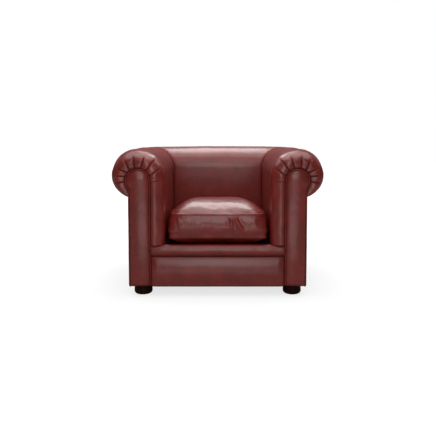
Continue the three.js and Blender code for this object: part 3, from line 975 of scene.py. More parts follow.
@dataclass
class ArmUpholstery:
    """One arm's leather: inside face, roll, and the pleated scroll round the facing, over its foam.

    The scroll front is a ring between the roll's outline and the piping. Across it an angle runs from
    the piping to the outline, and the place is their mean weighted by (1 - cos) / 2. Beside the seat
    the ring stands forward by its fullness times sin; on the roll it turns forward over its shoulder
    as a quarter superellipse and in to the piping as a quarter ellipse.
    """

    plan: Plan
    section: RollSection
    leather: float = 0.002
    edge_depth: float = 0.043
    roll_edge_depth: float = 0.051
    top_edge_depth: float = 0.078
    lip_depth: float = 0.0135
    lip_gap: float = 0.0003
    bulge: float = 0.0275
    roll_face_depth: float = 0.0045
    shoulder_share: float = 0.55
    shoulder_power: float = 2.0
    top_shoulder_power: float = 1.5
    tucked_share: float = 0.40
    tuck: tuple[tuple[float, float], ...] = ((-0.0034, 0.0186), (-0.0016, 0.0186), (-0.0002, 0.0172))
    neck_rise: float = 0.028
    full_width: float = 0.072
    pad_thickness: float = 0.045
    crease_depth: float = 0.0044
    crease_width: float = 0.0019
    puff: float = 0.0020
    pleat_fade: float = 0.18
    crest: float = 0.0045
    # On the roll's inner slope behind the scroll the leather is matt and a little darker, painted shade.
    slope_matt_and_shade: float = 0.32
    # How far from the piping across the ring the painted shade reaches.
    lip_shade_reach: float = 0.045
    pad_inset: float = 0.006
    roll_top: Band = Band((1.0, 1.8), (2.2, 2.75))
    crested: Band = Band((1.3, 2.0), (2.05, 2.5))
    matt: Band = Band((0.8, 1.2), (2.2, 2.45))
    filled: Band = Band((0.0, 0.12), (0.3, 0.78))
    fill_uneven: tuple[Undulation, ...] = (Undulation(0.0011, 0.11, 11), Undulation(0.0004, 0.035, 12))
    ring_rows: int = 46
    length_rows: int = 58
    corner_rows: int = 14
    gap_columns: int = 16
    pleats: tuple[Pleat, ...] = (
        Pleat(0.985, 0.922, 1.00, 0.4),
        Pleat(1.115, 1.197, 0.90, 0.9),
        Pleat(1.235, 1.486, 0.92),
        Pleat(1.345, 1.753, 0.76),
        Pleat(1.465, 2.028, 0.74),
        Pleat(1.570, 2.202, 0.72),
        Pleat(1.639, 2.423, 0.72),
        Pleat(1.721, 2.564, 0.70, 0.95),
        Pleat(1.835, 2.682, 0.78, 0.9),
    )

    def __post_init__(self) -> None:
        """Lays out the columns, which run from the piping outwards and crowd at each pleat."""
        gaps = len(self.pleats) + 1
        counts = [3 * self.gap_columns] + [self.gap_columns] * (gaps - 2) + [2 * self.gap_columns]
        runs = [i + clustered(count, 0.75) for i, count in enumerate(counts)]
        run = np.concatenate([*runs, [gaps]])
        self.pleat_columns = np.cumsum(counts)[:-1]
        lip = [0.0, *[p.lip_station for p in self.pleats], 3.0]
        roll = [0.0, *[p.roll_station for p in self.pleats], 3.0]
        self.lip_station = np.interp(run, np.arange(gaps + 1), lip)
        self.roll_station = np.interp(run, np.arange(gaps + 1), roll)

    def lip(self, outset: float) -> tuple[np.ndarray, np.ndarray]:
        """The line at the piping that the scroll is drawn in to, column for column."""
        line = KeyholeLine(self.plan, self.plan.cover_bottom, self.plan.tuck + self.neck_rise, outset)
        return line.at(self.lip_station)

    def _run_back(self, u: np.ndarray, z: np.ndarray, start: np.ndarray | float) -> np.ndarray:
        """Rows along the arm, then round an eighth of the rear corner to the mitre.

        Args:
            u: Distance outwards of each column.
            z: Height of each column.
            start: y of the first row, one for all or one a column.

        Returns:
            Rows by columns by 3, for the right side.
        """
        corner = self.plan.inner_back + u
        straight_end = corner - self.plan.corner_radius(u)
        share = np.linspace(0, 1, self.length_rows)[:, None]
        straight = points_at(self.plan.seat_half + u, start + (straight_end - start) * share, z)
        turn = np.linspace(0, np.pi / 4, self.corner_rows + 1)[1:, None]
        out, short = self.plan.round_corner(u[None], turn)
        return np.concatenate([straight, points_at(self.plan.seat_half + out, corner - short, z)])

    def skin(self, inset: float) -> np.ndarray:
        """The arm's smooth skin, before its pleats.

        Args:
            inset: How far inside the leather's outer face.

        Returns:
            Rows by columns by 3, for the right side.
        """
        roll_u, roll_z = self.section.at(self.roll_station, inset)
        lip_u, lip_z = self.lip(self.lip_gap + inset)
        face_u, face_z = self.section.at(self.roll_station)
        edge_u, edge_z = self.lip(0.0)
        width = np.hypot(face_u - edge_u, face_z - edge_z)
        fullness = np.minimum(1, width / self.full_width)
        angle = np.linspace(np.pi, 0, self.ring_rows)[:, None]
        share = (1 - np.cos(angle)) / 2
        edge_depth = self._edge_depth()
        plain = (self.lip_depth + (edge_depth - self.lip_depth) * (1 - share)
                 - (self.bulge * fullness - inset) * np.sin(angle))
        face_depth = self.lip_depth + (self.roll_face_depth - self.lip_depth) * fullness + inset
        shoulder = 1 - np.clip(share / self.shoulder_share, 0, 1)
        tucked = 1 - np.clip((1 - share) / self.tucked_share, 0, 1)
        power = self.shoulder_power + (self.top_shoulder_power - self.shoulder_power) * self._on_top()
        over = 1 - (1 - shoulder ** power) ** (1 / power)
        rolled = (face_depth + (edge_depth - face_depth) * over
                  + (self.lip_depth - face_depth) * (1 - np.sqrt(1 - tucked ** 2)))
        ring = points_at(self.plan.seat_half + roll_u + (lip_u - roll_u) * share,
                         self.plan.front + plain + (rolled - plain) * self._on_roll(),
                         roll_z + (lip_z - roll_z) * share)
        under = [points_at(self.plan.seat_half + u, self.plan.front + depth + inset, z)
                 for outset, depth in self.tuck for u, z in [self.lip(outset)]]
        rear = self._run_back(roll_u, roll_z, self.plan.front + edge_depth)
        return np.concatenate([under, ring[:-1], rear])

    def _edge_depth(self) -> np.ndarray:
        """How far behind the front each column's straight run starts: deepest along the roll's top."""
        return (self.edge_depth + (self.roll_edge_depth - self.edge_depth) * self._on_roll()
                + (self.top_edge_depth - self.roll_edge_depth) * self._on_top())

    def _on_roll(self) -> np.ndarray:
        """Which columns run on the roll, from 0 to 1."""
        return smoothstep(*self.roll_top.rise, self.roll_station)

    def _on_top(self) -> np.ndarray:
        """Which columns run over the roll's top, from 0 to 1."""
        return self.roll_top.at(self.roll_station)

    def lining(self) -> np.ndarray:
        """The foam's inner side: over the front board, then back along the top rails.

        Returns:
            Rows by columns by 3, for the right side.
        """
        inner = self.leather + self.pad_thickness + 2 * self.lip_gap
        u, z = self.section.at(self.roll_station, inner)
        lip_u, lip_z = self.lip(self.leather + 3 * self.lip_gap)
        share = (1 - np.cos(np.linspace(np.pi, 0, self.ring_rows)))[:, None] / 2
        front = self.plan.board_front - self.lip_gap
        over = points_at(self.plan.seat_half + u + (lip_u - u) * share, front, z + (lip_z - z) * share)
        first = np.repeat(over[:1], len(self.tuck), axis=0)
        return np.concatenate([first, over[:-1], self._run_back(u, z, front)])

    def pleated(self, skin: np.ndarray) -> tuple[np.ndarray, np.ndarray]:
        """Folds and fills the skin.

        Each pleat is a crease, exp(-(distance / width)^1.2), that is deepest at the piping and fades
        out along its length; between two pleats the leather swells as a parabola.

        Args:
            skin: The smooth skin.

        Returns:
            The pleated skin, and at each point its painted shade and matt: in the creases, next to the piping,
            along the mitre and on the inner slope.
        """
        rows = np.arange(skin.shape[0])
        run = distance_along(skin, axis=1)
        ring = len(self.tuck)
        outward = np.ones(len(rows))
        outward[:ring] = 0.0
        outward[ring:ring + self.ring_rows] = (1 + np.cos(np.linspace(np.pi, 0, self.ring_rows))) / 2
        in_ring = (rows < ring + self.ring_rows).astype(float)
        crease = self._creases(run, outward, in_ring)
        filled = self.filled.at(outward) * in_ring
        uneven = sum(part.at(skin) for part in self.fill_uneven)
        calm = smoothstep(0.0, 0.25, outward)[:, None]
        mitre = Mitre(self.plan)
        distance = mitre.distance(skin)
        height = (self.puff * self._between_pleats(run) * filled[:, None] - self.crease_depth * crease
                  + uneven * calm + mitre.relief(distance, run, self.roll_station)
                  + self.crest * self._on_crest(skin, distance))
        lip = np.exp(-outward / self.lip_shade_reach)[:, None] * in_ring[:, None]
        # Painted shade in the pleats' creases, next to the piping, along the mitre and, a little, on the inner
        # slope; small amounts only make the leather matt.
        shade_and_matt = np.maximum.reduce([0.95 * crease, 0.85 * lip * np.ones_like(crease),
                                  0.7 * mitre.shade_and_matt(distance), self._matt_and_shaded(skin)])
        return skin + grid_normals(skin) * height[..., None], np.clip(shade_and_matt, 0, 1)

    def _creases(self, run: np.ndarray, outward: np.ndarray, in_ring: np.ndarray) -> np.ndarray:
        """The pleats' creases, from 0 to 1 where one is deepest.

        Args:
            run: How far along its row each point lies.
            outward: How far from the piping to the outline each row lies, from 0 to 1.
            in_ring: Which rows belong to the scroll front.

        Returns:
            The depth of the deepest crease at each point.
        """
        crease = np.zeros(run.shape)
        for pleat, column in zip(self.pleats, self.pleat_columns):
            distance = np.abs(run - run[:, column:column + 1])
            fade = smoothstep(pleat.length_share, pleat.length_share - self.pleat_fade, outward) * in_ring
            width = self.crease_width * (1 + 0.6 * outward)[:, None]
            depth = pleat.depth_share * fade[:, None]
            crease = np.maximum(crease, depth * np.exp(-(distance / width) ** 1.2))
        return crease

    def _between_pleats(self, run: np.ndarray) -> np.ndarray:
        """How full the leather is between each two pleats, (4 s (1 - s))^0.8 with s its share of the way.

        Args:
            run: How far along its row each point lies.

        Returns:
            Fullness from 0 to 1 at each point.
        """
        fullness = np.zeros(run.shape)
        for first, last in zip(self.pleat_columns[:-1], self.pleat_columns[1:]):
            low, high = run[:, first:first + 1], run[:, last:last + 1]
            share = np.clip((run[:, first:last] - low) / (high - low), 0, 1)
            fullness[:, first:last] = (4 * share * (1 - share)) ** 0.8
        return fullness

    def _on_crest(self, skin: np.ndarray, mitre: np.ndarray) -> np.ndarray:
        """Where the arm's roll is stuffed a little fuller: along its top, between scroll and mitre."""
        behind = smoothstep(self.plan.front + 0.03, self.plan.front + 0.09, skin[..., 1])
        return self.crested.at(self.roll_station) * behind * smoothstep(0.05, 0.35, mitre)

    def _matt_and_shaded(self, skin: np.ndarray) -> np.ndarray:
        """Where the leather is matt and a little darker, painted shade: on the roll's crest and inner slope,
        behind the scroll.
        """
        behind = smoothstep(self.plan.front + 0.045, self.plan.front + 0.075, skin[..., 1])
        return self.slope_matt_and_shade * self.matt.at(self.roll_station) * behind

    def build(self, side: Side) -> None:
        """Makes and dresses one arm's cover and foam.

        Args:
            side: Which arm.
        """
        outer, shade_and_matt = self.pleated(self.skin(0.0))
        inner = outer - grid_normals(outer) * self.leather
        cover = shell(f"arm_cover_{side.word}", outer * side.mirror, inner * side.mirror, shade_and_matt)
        dress(cover, Slot.LEATHER, replaces=[f"inside_arm_cover_{side.word}"])
        pad = shell(f"arm_foam_{side.word}", self.skin(self.leather + self.pad_inset) * side.mirror,
                    self.lining() * side.mirror)
        dress(pad, Slot.FOAM, replaces=[f"arm_pad_{side.word}"])


# Facings


@dataclass
class ArmFacing:
    """The keyhole panel on the arm's front: padded leather, round as an ellipse across, and its piping."""

    plan: Plan
    piping_radius: float = 0.0035
    gap: float = 0.0003
    edge_front: float = 0.0105
    dome: float = 0.0165
    fullness: float = 2.0
    seam_lap: float = 0.0004
    hem: float = 0.004
    piping_rise: float = 0.0075
    piping_end: float = 0.0065
    piping_wear: float = 0.12
    stitch: float = 0.0095
    stitch_depth: float = 0.05
    # Painted shade and matt at the panel's edge by the piping, at its inner and at its outer edge; the outer
    # amount only makes it matt.
    edge_shade_and_matt: tuple[float, float] = (0.5, 0.15)
    face_uneven: tuple[Undulation, ...] = (Undulation(0.0005, 0.09, 21), Undulation(0.0002, 0.022, 22))
    outline_steps: int = 210
    across_steps: int = 22
    piping_steps: int = 420
    piping_sides: int = 14

    def _stations(self, count: int) -> np.ndarray:
        """Stations along the keyhole, closer on the head than on the straight edges.

        Args:
            count: How many.

        Returns:
            The stations, 0 to 3.
        """
        edge = np.linspace(0, 1, count // 4, endpoint=False)
        head = np.linspace(1, 2, count // 2, endpoint=False)
        return np.concatenate([edge, head, np.linspace(2, 3, count - count // 4 - count // 2)])

    def panel(self) -> tuple[np.ndarray, np.ndarray, np.ndarray]:
        """The panel's face and back: lines from a spine down its middle out to the keyhole.

        Its depth across is dome * (1 - share^n)^(1/n), as on a stuffed panel, and it turns under at
        the foot as a quarter circle.

        Returns:
            Face and back, rows by columns by 3, and the painted shade and matt along the edge by the piping.
        """
        inset = 2 * self.piping_radius + self.gap - self.seam_lap
        line = KeyholeLine(self.plan, self.plan.underside, self.plan.underside, -inset)
        station = self._stations(self.outline_steps)
        u, z = line.at(station)
        middle = (u[0] + u[-1]) / 2
        falling = line.head_z + (self.plan.underside - line.head_z) * np.clip(station - 2, 0, 1)
        spine_z = np.where(station <= 1, z, falling)
        lean = smoothstep(line.head_z - 0.25, line.head_z, spine_z)
        spine_u = middle + (line.head_u - middle) * lean
        share = np.sin(np.pi / 2 * np.linspace(0, 1, self.across_steps))[:, None]
        across_u = spine_u + (u - spine_u) * share
        across_z = spine_z + (z - spine_z) * share
        round_across = (1 - share ** self.fullness) ** (1 / self.fullness)
        above = np.clip((across_z - self.plan.underside) / self.hem, 0, 1)
        turned = np.sqrt(np.maximum(1 - (1 - above) ** 2, 0))
        front = self.plan.board_front - self.gap - (self.edge_front + self.dome * round_across) * turned
        face = points_at(self.plan.seat_half + across_u, front, across_z)
        face[..., 1] -= sum(part.at(face) for part in self.face_uneven) * round_across * turned
        back = face.copy()
        back[..., 1] = self.plan.board_front - self.gap
        # Painted shade in the groove along the inner edge; along the outer edge the leather only turns matt.
        inner, outer = self.edge_shade_and_matt
        shade_and_matt = smoothstep(0.90, 1.0, share) * (inner - (inner - outer) * smoothstep(2.0, 2.1, station))
        return face, back, shade_and_matt

    def piping_line(self) -> np.ndarray:
        """Follows the keyhole with the piping.

        Returns:
            The centre line of the right side's piping.
        """
        inset = self.piping_radius + self.gap
        foot = self.plan.underside + self.piping_rise
        end = self.piping_end * (1 - np.cos(np.linspace(0, np.pi / 2, 7)))
        station = np.concatenate([end, self._stations(self.piping_steps)[1:-1], 3 - end[::-1]])
        u, z = KeyholeLine(self.plan, foot, foot, -inset).at(station)
        return points_at(self.plan.seat_half + u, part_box("facing_piping_right")[0].y + self.piping_radius, z)

    def build(self, side: Side) -> None:
        """Makes and dresses one facing and its piping.

        Args:
            side: Which arm.
        """
        face, back, shade_and_matt = self.panel()
        panel = shell(f"arm_facing_{side.word}", face * side.mirror, back * side.mirror, shade_and_matt,
                      open_start=True)
        dress(panel, Slot.LEATHER, replaces=[f"facing_{side.word}"])
        line = self.piping_line()
        run = distance_along(line)
        from_end = np.clip(np.minimum(run, run[-1] - run) / self.piping_radius, 0.02, 1)
        rounded = np.sqrt(1 - (1 - from_end) ** 2)
        drawn_in = 1 - self.stitch_depth * np.cos(2 * np.pi * run / self.stitch) ** 2
        rings = tube_rings(line, self.piping_radius * rounded * drawn_in, self.piping_sides, (0, 1, 0))
        shade_and_matt = np.full(rings.shape[:2], self.piping_wear)
        piping = closed_rings(f"arm_piping_{side.word}", rings * side.mirror, shade_and_matt)
        dress(piping, Slot.LEATHER, replaces=[f"facing_piping_{side.word}"])


# Back


@dataclass
class BackUpholstery:
    """The inside back and its roll: one plain leather skin over foam, mitred to the arms.

    Its top is crowned as a parabola across the chair.
    """

    plan: Plan
    section: RollSection
    leather: float = 0.002
    pad_thickness: float = 0.045
    crown: float = 0.0042
    columns: int = 150
    corner_share: float = 0.12
    face_rows: int = 26
    roll_rows: int = 66
    pad_inset: float = 0.006
    crowned: Band = Band((0.9, 2.0), (2.3, 3.0))
    rub: float = 0.18
    rub_fades: tuple[float, float] = (0.62, 0.47)
    side_rub: float = 0.6
    side_rub_fades: tuple[float, float] = (0.70, 0.62)
    face_uneven: tuple[Undulation, ...] = (Undulation(0.0006, 0.20, 31), Undulation(0.00015, 0.05, 32))

    def _stations(self) -> np.ndarray:
        """Spreads the rows of the skin.

        Returns:
            Stations up the face and round the roll, 0 to 3.
        """
        face = np.linspace(0, 1, self.face_rows, endpoint=False)
        quarter = np.linspace(1, 2, self.roll_rows // 3, endpoint=False)
        return np.concatenate([face, quarter, np.linspace(2, 3, self.roll_rows * 2 // 3)])

    def skin(self, inset: float) -> np.ndarray:
        """The skin of the back, from mitre to mitre.

        Args:
            inset: How far inside the leather's outer face.

        Returns:
            Columns across the chair by rows round the section by 3.
        """
        station = self._stations()
        u, z = self.section.at(station, inset)
        across = np.linspace(-1, 1, self.columns)[:, None]
        size = np.abs(across)
        straight = self.plan.seat_half + u - self.plan.corner_radius(u)
        share = np.clip(size / (1 - self.corner_share), 0, 1)
        turn = np.pi / 4 * np.clip((size - 1 + self.corner_share) / self.corner_share, 0, 1)
        out, short = self.plan.round_corner(u[None], turn)
        x = np.where(turn > 0, self.plan.seat_half + u - short, straight * share)
        lift = self.crown * (1 - across ** 2) * self.crowned.at(station)
        return points_at(np.sign(across) * x, self.plan.inner_back + out, z + lift)

    def build(self) -> None:
        """Makes and dresses the cover and its foam."""
        base = self.skin(0.0)
        station = self._stations()
        mitre = Mitre(self.plan)
        distance = mitre.distance(base)
        height = (sum(part.at(base) for part in self.face_uneven)
                  + mitre.relief(distance, distance_along(base, axis=1), station))
        outer = base - grid_normals(base) * height[..., None]
        inner = outer + grid_normals(outer) * self.leather
        # Painted shade and matt in the mitre's groove; low on the back the leather only turns matt.
        shade_and_matt = np.maximum(0.75 * mitre.shade_and_matt(distance), self._rubbed(base) * smoothstep(1.3, 1.1, station))
        cover = shell("back_cover", outer, inner, shade_and_matt)
        dress(cover, Slot.LEATHER, replaces=["inside_back_cover"])
        pad = shell("back_foam", self.skin(self.leather + self.pad_inset),
                    self.skin(self.leather + self.pad_thickness))
        dress(pad, Slot.FOAM, replaces=["back_pad"])

    def _rubbed(self, skin: np.ndarray) -> np.ndarray:
        """Where sitters have rubbed the glaze off: low on the back, and thinly a bit higher by the arms.

        Args:
            skin: Points of the back's skin.

        Returns:
            The rubbing at each point, 0 to rub.
        """
        low = smoothstep(*self.rub_fades, skin[..., 2])
        beside = smoothstep(0.5, 1.0, np.abs(skin[..., 0]) / self.plan.seat_half)
        higher = self.side_rub * beside * smoothstep(*self.side_rub_fades, skin[..., 2])
        return self.rub * np.clip(low + higher, 0, 1)


# Outside


@dataclass
class OutsidePanels:
    """The plain leather outside the arms and the back: flat panels, stretched, with hemmed feet."""

    plan: Plan
    leather: float = 0.0035
    puff: float = 0.0026
    hem: float = 0.004
    # Painted shade, with matt leather, along the panels' edges where they meet seams and hems.
    edge_shade_and_matt: float = 0.6
    edge_steps: float = 1.2
    steps_along: int = 90
    steps_up: int = 60
    corner_steps: int = 10

    def _face(self, along_start: float, corner: float) -> np.ndarray:
        """One panel as if it ran along +y at the right: straight, then half of the rear corner.

        It swells by puff * (1 - a^4) * (1 - b^4), with a and b its shares along and up.

        Args:
            along_start: Where the panel starts.
            corner: Where the body's sharp corner would be.

        Returns:
            Distances outwards and along, and heights, as three grids in one array.
        """
        radius = self.plan.body_corner
        turn = np.linspace(0, np.pi / 4, self.corner_steps + 1)[1:]
        straight = np.linspace(along_start, corner - radius, self.steps_along)
        along = np.concatenate([straight, corner - radius + radius * np.sin(turn)])
        out = np.concatenate([np.zeros_like(straight), -radius * (1 - np.cos(turn))])
        z = np.linspace(self.plan.underside, self.plan.tuck, self.steps_up)
        a = 2 * (along - along_start) / (along[-1] - along_start) - 1
        b = 2 * (z - z[0]) / (z[-1] - z[0]) - 1
        swell = self.puff * (1 - a[:, None] ** 4) * (1 - b ** 4)
        hem = self.hem * (1 - np.sqrt(1 - (1 - np.clip((z - z[0]) / self.hem, 0, 1)) ** 2))
        return np.stack(np.broadcast_arrays(out[:, None] + swell - hem, along[:, None], z))

    def build(self) -> None:
        """Makes and dresses the three outside panels."""
        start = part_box("outside_arm_cover_right")[0].y
        rear = self.plan.inner_back + self.plan.thickness
        out, along, z = self._face(start, rear)
        for side in Side:
            outer = points_at(side.value * (self.plan.body_half + out), along, z)
            uneven = Undulation(0.0007, 0.13, 41 + side.value).at(outer)
            outer[..., 0] += side.value * uneven
            inner = outer.copy()
            inner[..., 0] -= side.value * self.leather
            inner[..., 1] = np.minimum(inner[..., 1], rear - self.leather)
            shade_and_matt = self._edge_shade_and_matt(outer.shape[:2])
            panel = shell(f"outside_arm_{side.word}", outer, inner, shade_and_matt)
            dress(panel, Slot.LEATHER, replaces=[f"outside_arm_cover_{side.word}"])
        out, along, z = self._face(0.0, self.plan.body_half)
        half = points_at(along, rear + out, z)
        whole = np.concatenate([half[:0:-1] * Side.LEFT.mirror, half])
        whole[..., 1] += Undulation(0.0009, 0.15, 45).at(whole)
        inner = whole.copy()
        inner[..., 1] -= self.leather
        inner[..., 0] = np.clip(inner[..., 0], self.leather - self.plan.body_half,
                                self.plan.body_half - self.leather)
        panel = shell("outside_back", whole, inner, self._edge_shade_and_matt(whole.shape[:2]))
        dress(panel, Slot.LEATHER, replaces=["outside_back_cover"])

    def _edge_shade_and_matt(self, shape: tuple[int, int]) -> np.ndarray:
        """Painted shade and matt leather along a panel's four edges.

        Args:
            shape: Rows and columns of the panel's grid.

        Returns:
            The painted shade and matt at each point.
        """
        rows = np.arange(shape[0])[:, None]
        columns = np.arange(shape[1])[None]
        near = np.minimum(np.minimum(rows, shape[0] - 1 - rows), np.minimum(columns, shape[1] - 1 - columns))
        return self.edge_shade_and_matt * np.exp(-near / self.edge_steps)


# Front border


@dataclass
class FrontBorder:
    """The rolled edge under the cushion, and the padded panel below it."""

    plan: Plan
    seam_gap: float = 0.00005
    around: int = 64
    along: int = 220
    flat_top: float = 0.010
    flange_depth: float = 0.028
    flange_step: float = 0.002
    nose_lap: float = 0.004
    board_gap: float = 0.0003
    crowding: float = 0.4
    end_tuck: float = 0.0022
    end_pinch: float = 0.12
    pinch_reach: float = 0.009
    panel_puff: float = 0.0025
    puff_rise: float = 0.07
    fullest_share: float = 0.64
    foot_round: float = 0.008
    side_round: float = 0.040
    stuffed_power: float = 2.2
    # Painted shade, with matt leather, where the roll meets the panel and where both run in beside the arms.
    seam_shade_and_matt: float = 0.6
    end_shade_width: float = 0.004
    roll_pucker: Pucker = Pucker(0.0006, 0.0032, 0.021)
    panel_pucker: Pucker = Pucker(0.0007, 0.0034, 0.019)
    roll_uneven: Undulation = Undulation(0.0006, 0.07, 51)
    panel_uneven: Undulation = Undulation(0.0005, 0.12, 53)

    def _across(self, half: float) -> np.ndarray:
        """Places across the chair that crowd at both ends."""
        t = np.linspace(-1, 1, self.along)
        return half * np.sin(np.pi / 2 * t) * self.crowding + half * t * (1 - self.crowding)

    def roll(self) -> tuple[np.ndarray, np.ndarray]:
        """The roll: half an ellipse to the front, and a flat flange back over the rail.

        Returns:
            Rings by points by 3, and the painted shade and matt at each point, under the roll and at its ends.
        """
        low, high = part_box("border_roll")
        x = self._across(high.x + self.end_tuck)[:, None]
        board = self.plan.board_front
        half = (high.z - low.z) / 2
        turn = np.linspace(0, np.pi, self.around - 6)
        pinch = 1 - self.end_pinch * np.exp(-(high.x - np.abs(x)) / self.pinch_reach)
        nose_y = board - (board - self.plan.front) * np.sin(turn) * pinch
        squeezed = np.where(np.cos(turn) > 0, 1.0, 0.5 + 0.5 * pinch)
        nose_z = low.z + half - half * np.cos(turn) * squeezed
        flange_z = high.z - self.flange_depth
        flange = np.array([(high.y - self.flat_top, high.z), (high.y, high.z - self.flat_top),
                           (high.y, flange_z), (board + self.flange_step / 2, flange_z),
                           (board, flange_z - self.flange_step), (board, low.z + self.nose_lap)])
        beside = np.abs(x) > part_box("front_rail")[1].x
        flange_y = np.where(beside, np.minimum(flange[:, 0], board - self.board_gap), flange[:, 0])
        y = np.concatenate([nose_y, flange_y], axis=1)
        z = np.concatenate([nose_z, np.tile(flange[:, 1], (self.along, 1))], axis=1)
        rings = points_at(x, y, z)
        shape = np.concatenate([np.sin(turn), np.zeros(len(flange))])
        rings[..., 1] -= self.roll_uneven.at(rings) * shape
        rings[:, :len(turn), 1] += self.roll_pucker.at(x) * np.exp(-turn / 0.5)
        shade_and_matt = np.zeros(y.shape)
        # Painted shade along the roll's underside, where it meets the panel.
        shade_and_matt[:, :len(turn)] = self.seam_shade_and_matt * np.exp(-turn / 0.16)
        return rings, np.clip(np.maximum(shade_and_matt, self._end_shade(x, high.x)), 0, 1)

    def _end_shade(self, x: np.ndarray, half: float) -> np.ndarray:
        """Painted shade and matt across the chair, darker near the arms."""
        return self.seam_shade_and_matt * np.exp(-(half - np.abs(x)) / self.end_shade_width)

    def panel(self) -> tuple[np.ndarray, np.ndarray]:
        """The lower panel: a stuffed slab whose face falls away at its four edges, gently at the top.

        With s the share of the way in from an edge, the face stands out by (1 - (1 - s)^2.2)^n of its
        depth, with n 0.72 at the top, 0.5 at the foot and 0.45 at the sides.

        Returns:
            Face points, rows by columns by 3, and the painted shade and matt at each point, under the roll and
            at its ends.
        """
        low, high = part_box("front_border")
        high.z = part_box("border_roll")[0].z - self.seam_gap
        half = high.x + self.end_tuck
        x = self._across(half)[:, None]
        even = np.linspace(-1, 1, self.around)
        share = np.sin(np.pi / 2 * even) * 0.5 + even * 0.5
        z = (low.z + high.z) / 2 + (high.z - low.z) / 2 * share
        depth = high.y - low.y + self.panel_puff
        edge = 1.0
        for inward, power in (((high.z - z) / (self.fullest_share * (high.z - low.z)), 0.72),
                              ((z - low.z) / self.foot_round, 0.5),
                              ((half - np.abs(x)) / self.side_round, 0.45)):
            edge = edge * (1 - (1 - np.clip(inward, 0, 1)) ** self.stuffed_power) ** power
        edge = edge - self.panel_puff / depth * smoothstep(low.z + self.puff_rise, low.z, z) * edge
        face = points_at(x, high.y - depth * edge, z)
        face[..., 1] -= self.panel_uneven.at(face) * edge
        face[..., 1] += self.panel_pucker.at(x) * np.exp(-(high.z - z) / 0.010) * edge
        # Painted shade under the roll and beside the arms.
        shade_and_matt = np.maximum(self.seam_shade_and_matt * np.exp(-(high.z - z) / 0.0035), self._end_shade(x, high.x))
        return face, np.clip(shade_and_matt, 0, 1)

    def build(self) -> None:
        """Makes and dresses the roll and the panel."""
        rings, shade_and_matt = self.roll()
        roll = closed_rings("front_edge_roll", rings, shade_and_matt)
        dress(roll, Slot.LEATHER, replaces=["border_roll"])
        face, shade_and_matt = self.panel()
        back = face.copy()
        back[..., 1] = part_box("front_border")[1].y
        panel = shell("front_panel", face, back, shade_and_matt)
        dress(panel, Slot.LEATHER, replaces=["front_border"])


# Seat cushion

# The stuffing's cloth: its stiffness, how much it may grow, and the pressure that blows it up.
STUFFING = {"quality": 6, "mass": 0.4, "tension_stiffness": 25, "compression_stiffness": 25,
            "bending_stiffness": 0.8, "shrink_min": -0.025, "use_pressure": True,
            "uniform_pressure_force": 4.0}
STUFFING_FRAMES = 20


@dataclass(frozen=True)
class Wrinkle:
    """A fold of loose leather on the cushion's front: a groove between two points of (x, z)."""

    start: tuple[float, float]
    end: tuple[float, float]
    width: float
    depth: float
    reach: Band = Band((-0.15, 0.2), (0.6, 1.25))

    def at(self, x: np.ndarray, z: np.ndarray) -> np.ndarray:
        """How deep the groove is: a Gaussian across it that fades at both ends.

        Args:
            x: Places across the chair.
            z: Heights.

        Returns:
            Depth at each place.
        """
        run = np.subtract(self.end, self.start)
        length = np.hypot(*run)
        along = ((x - self.start[0]) * run[0] + (z - self.start[1]) * run[1]) / length
        across = ((x - self.start[0]) * run[1] - (z - self.start[1]) * run[0]) / length
        return self.depth * self.reach.at(along / length) * np.exp(-(across / self.width) ** 2)


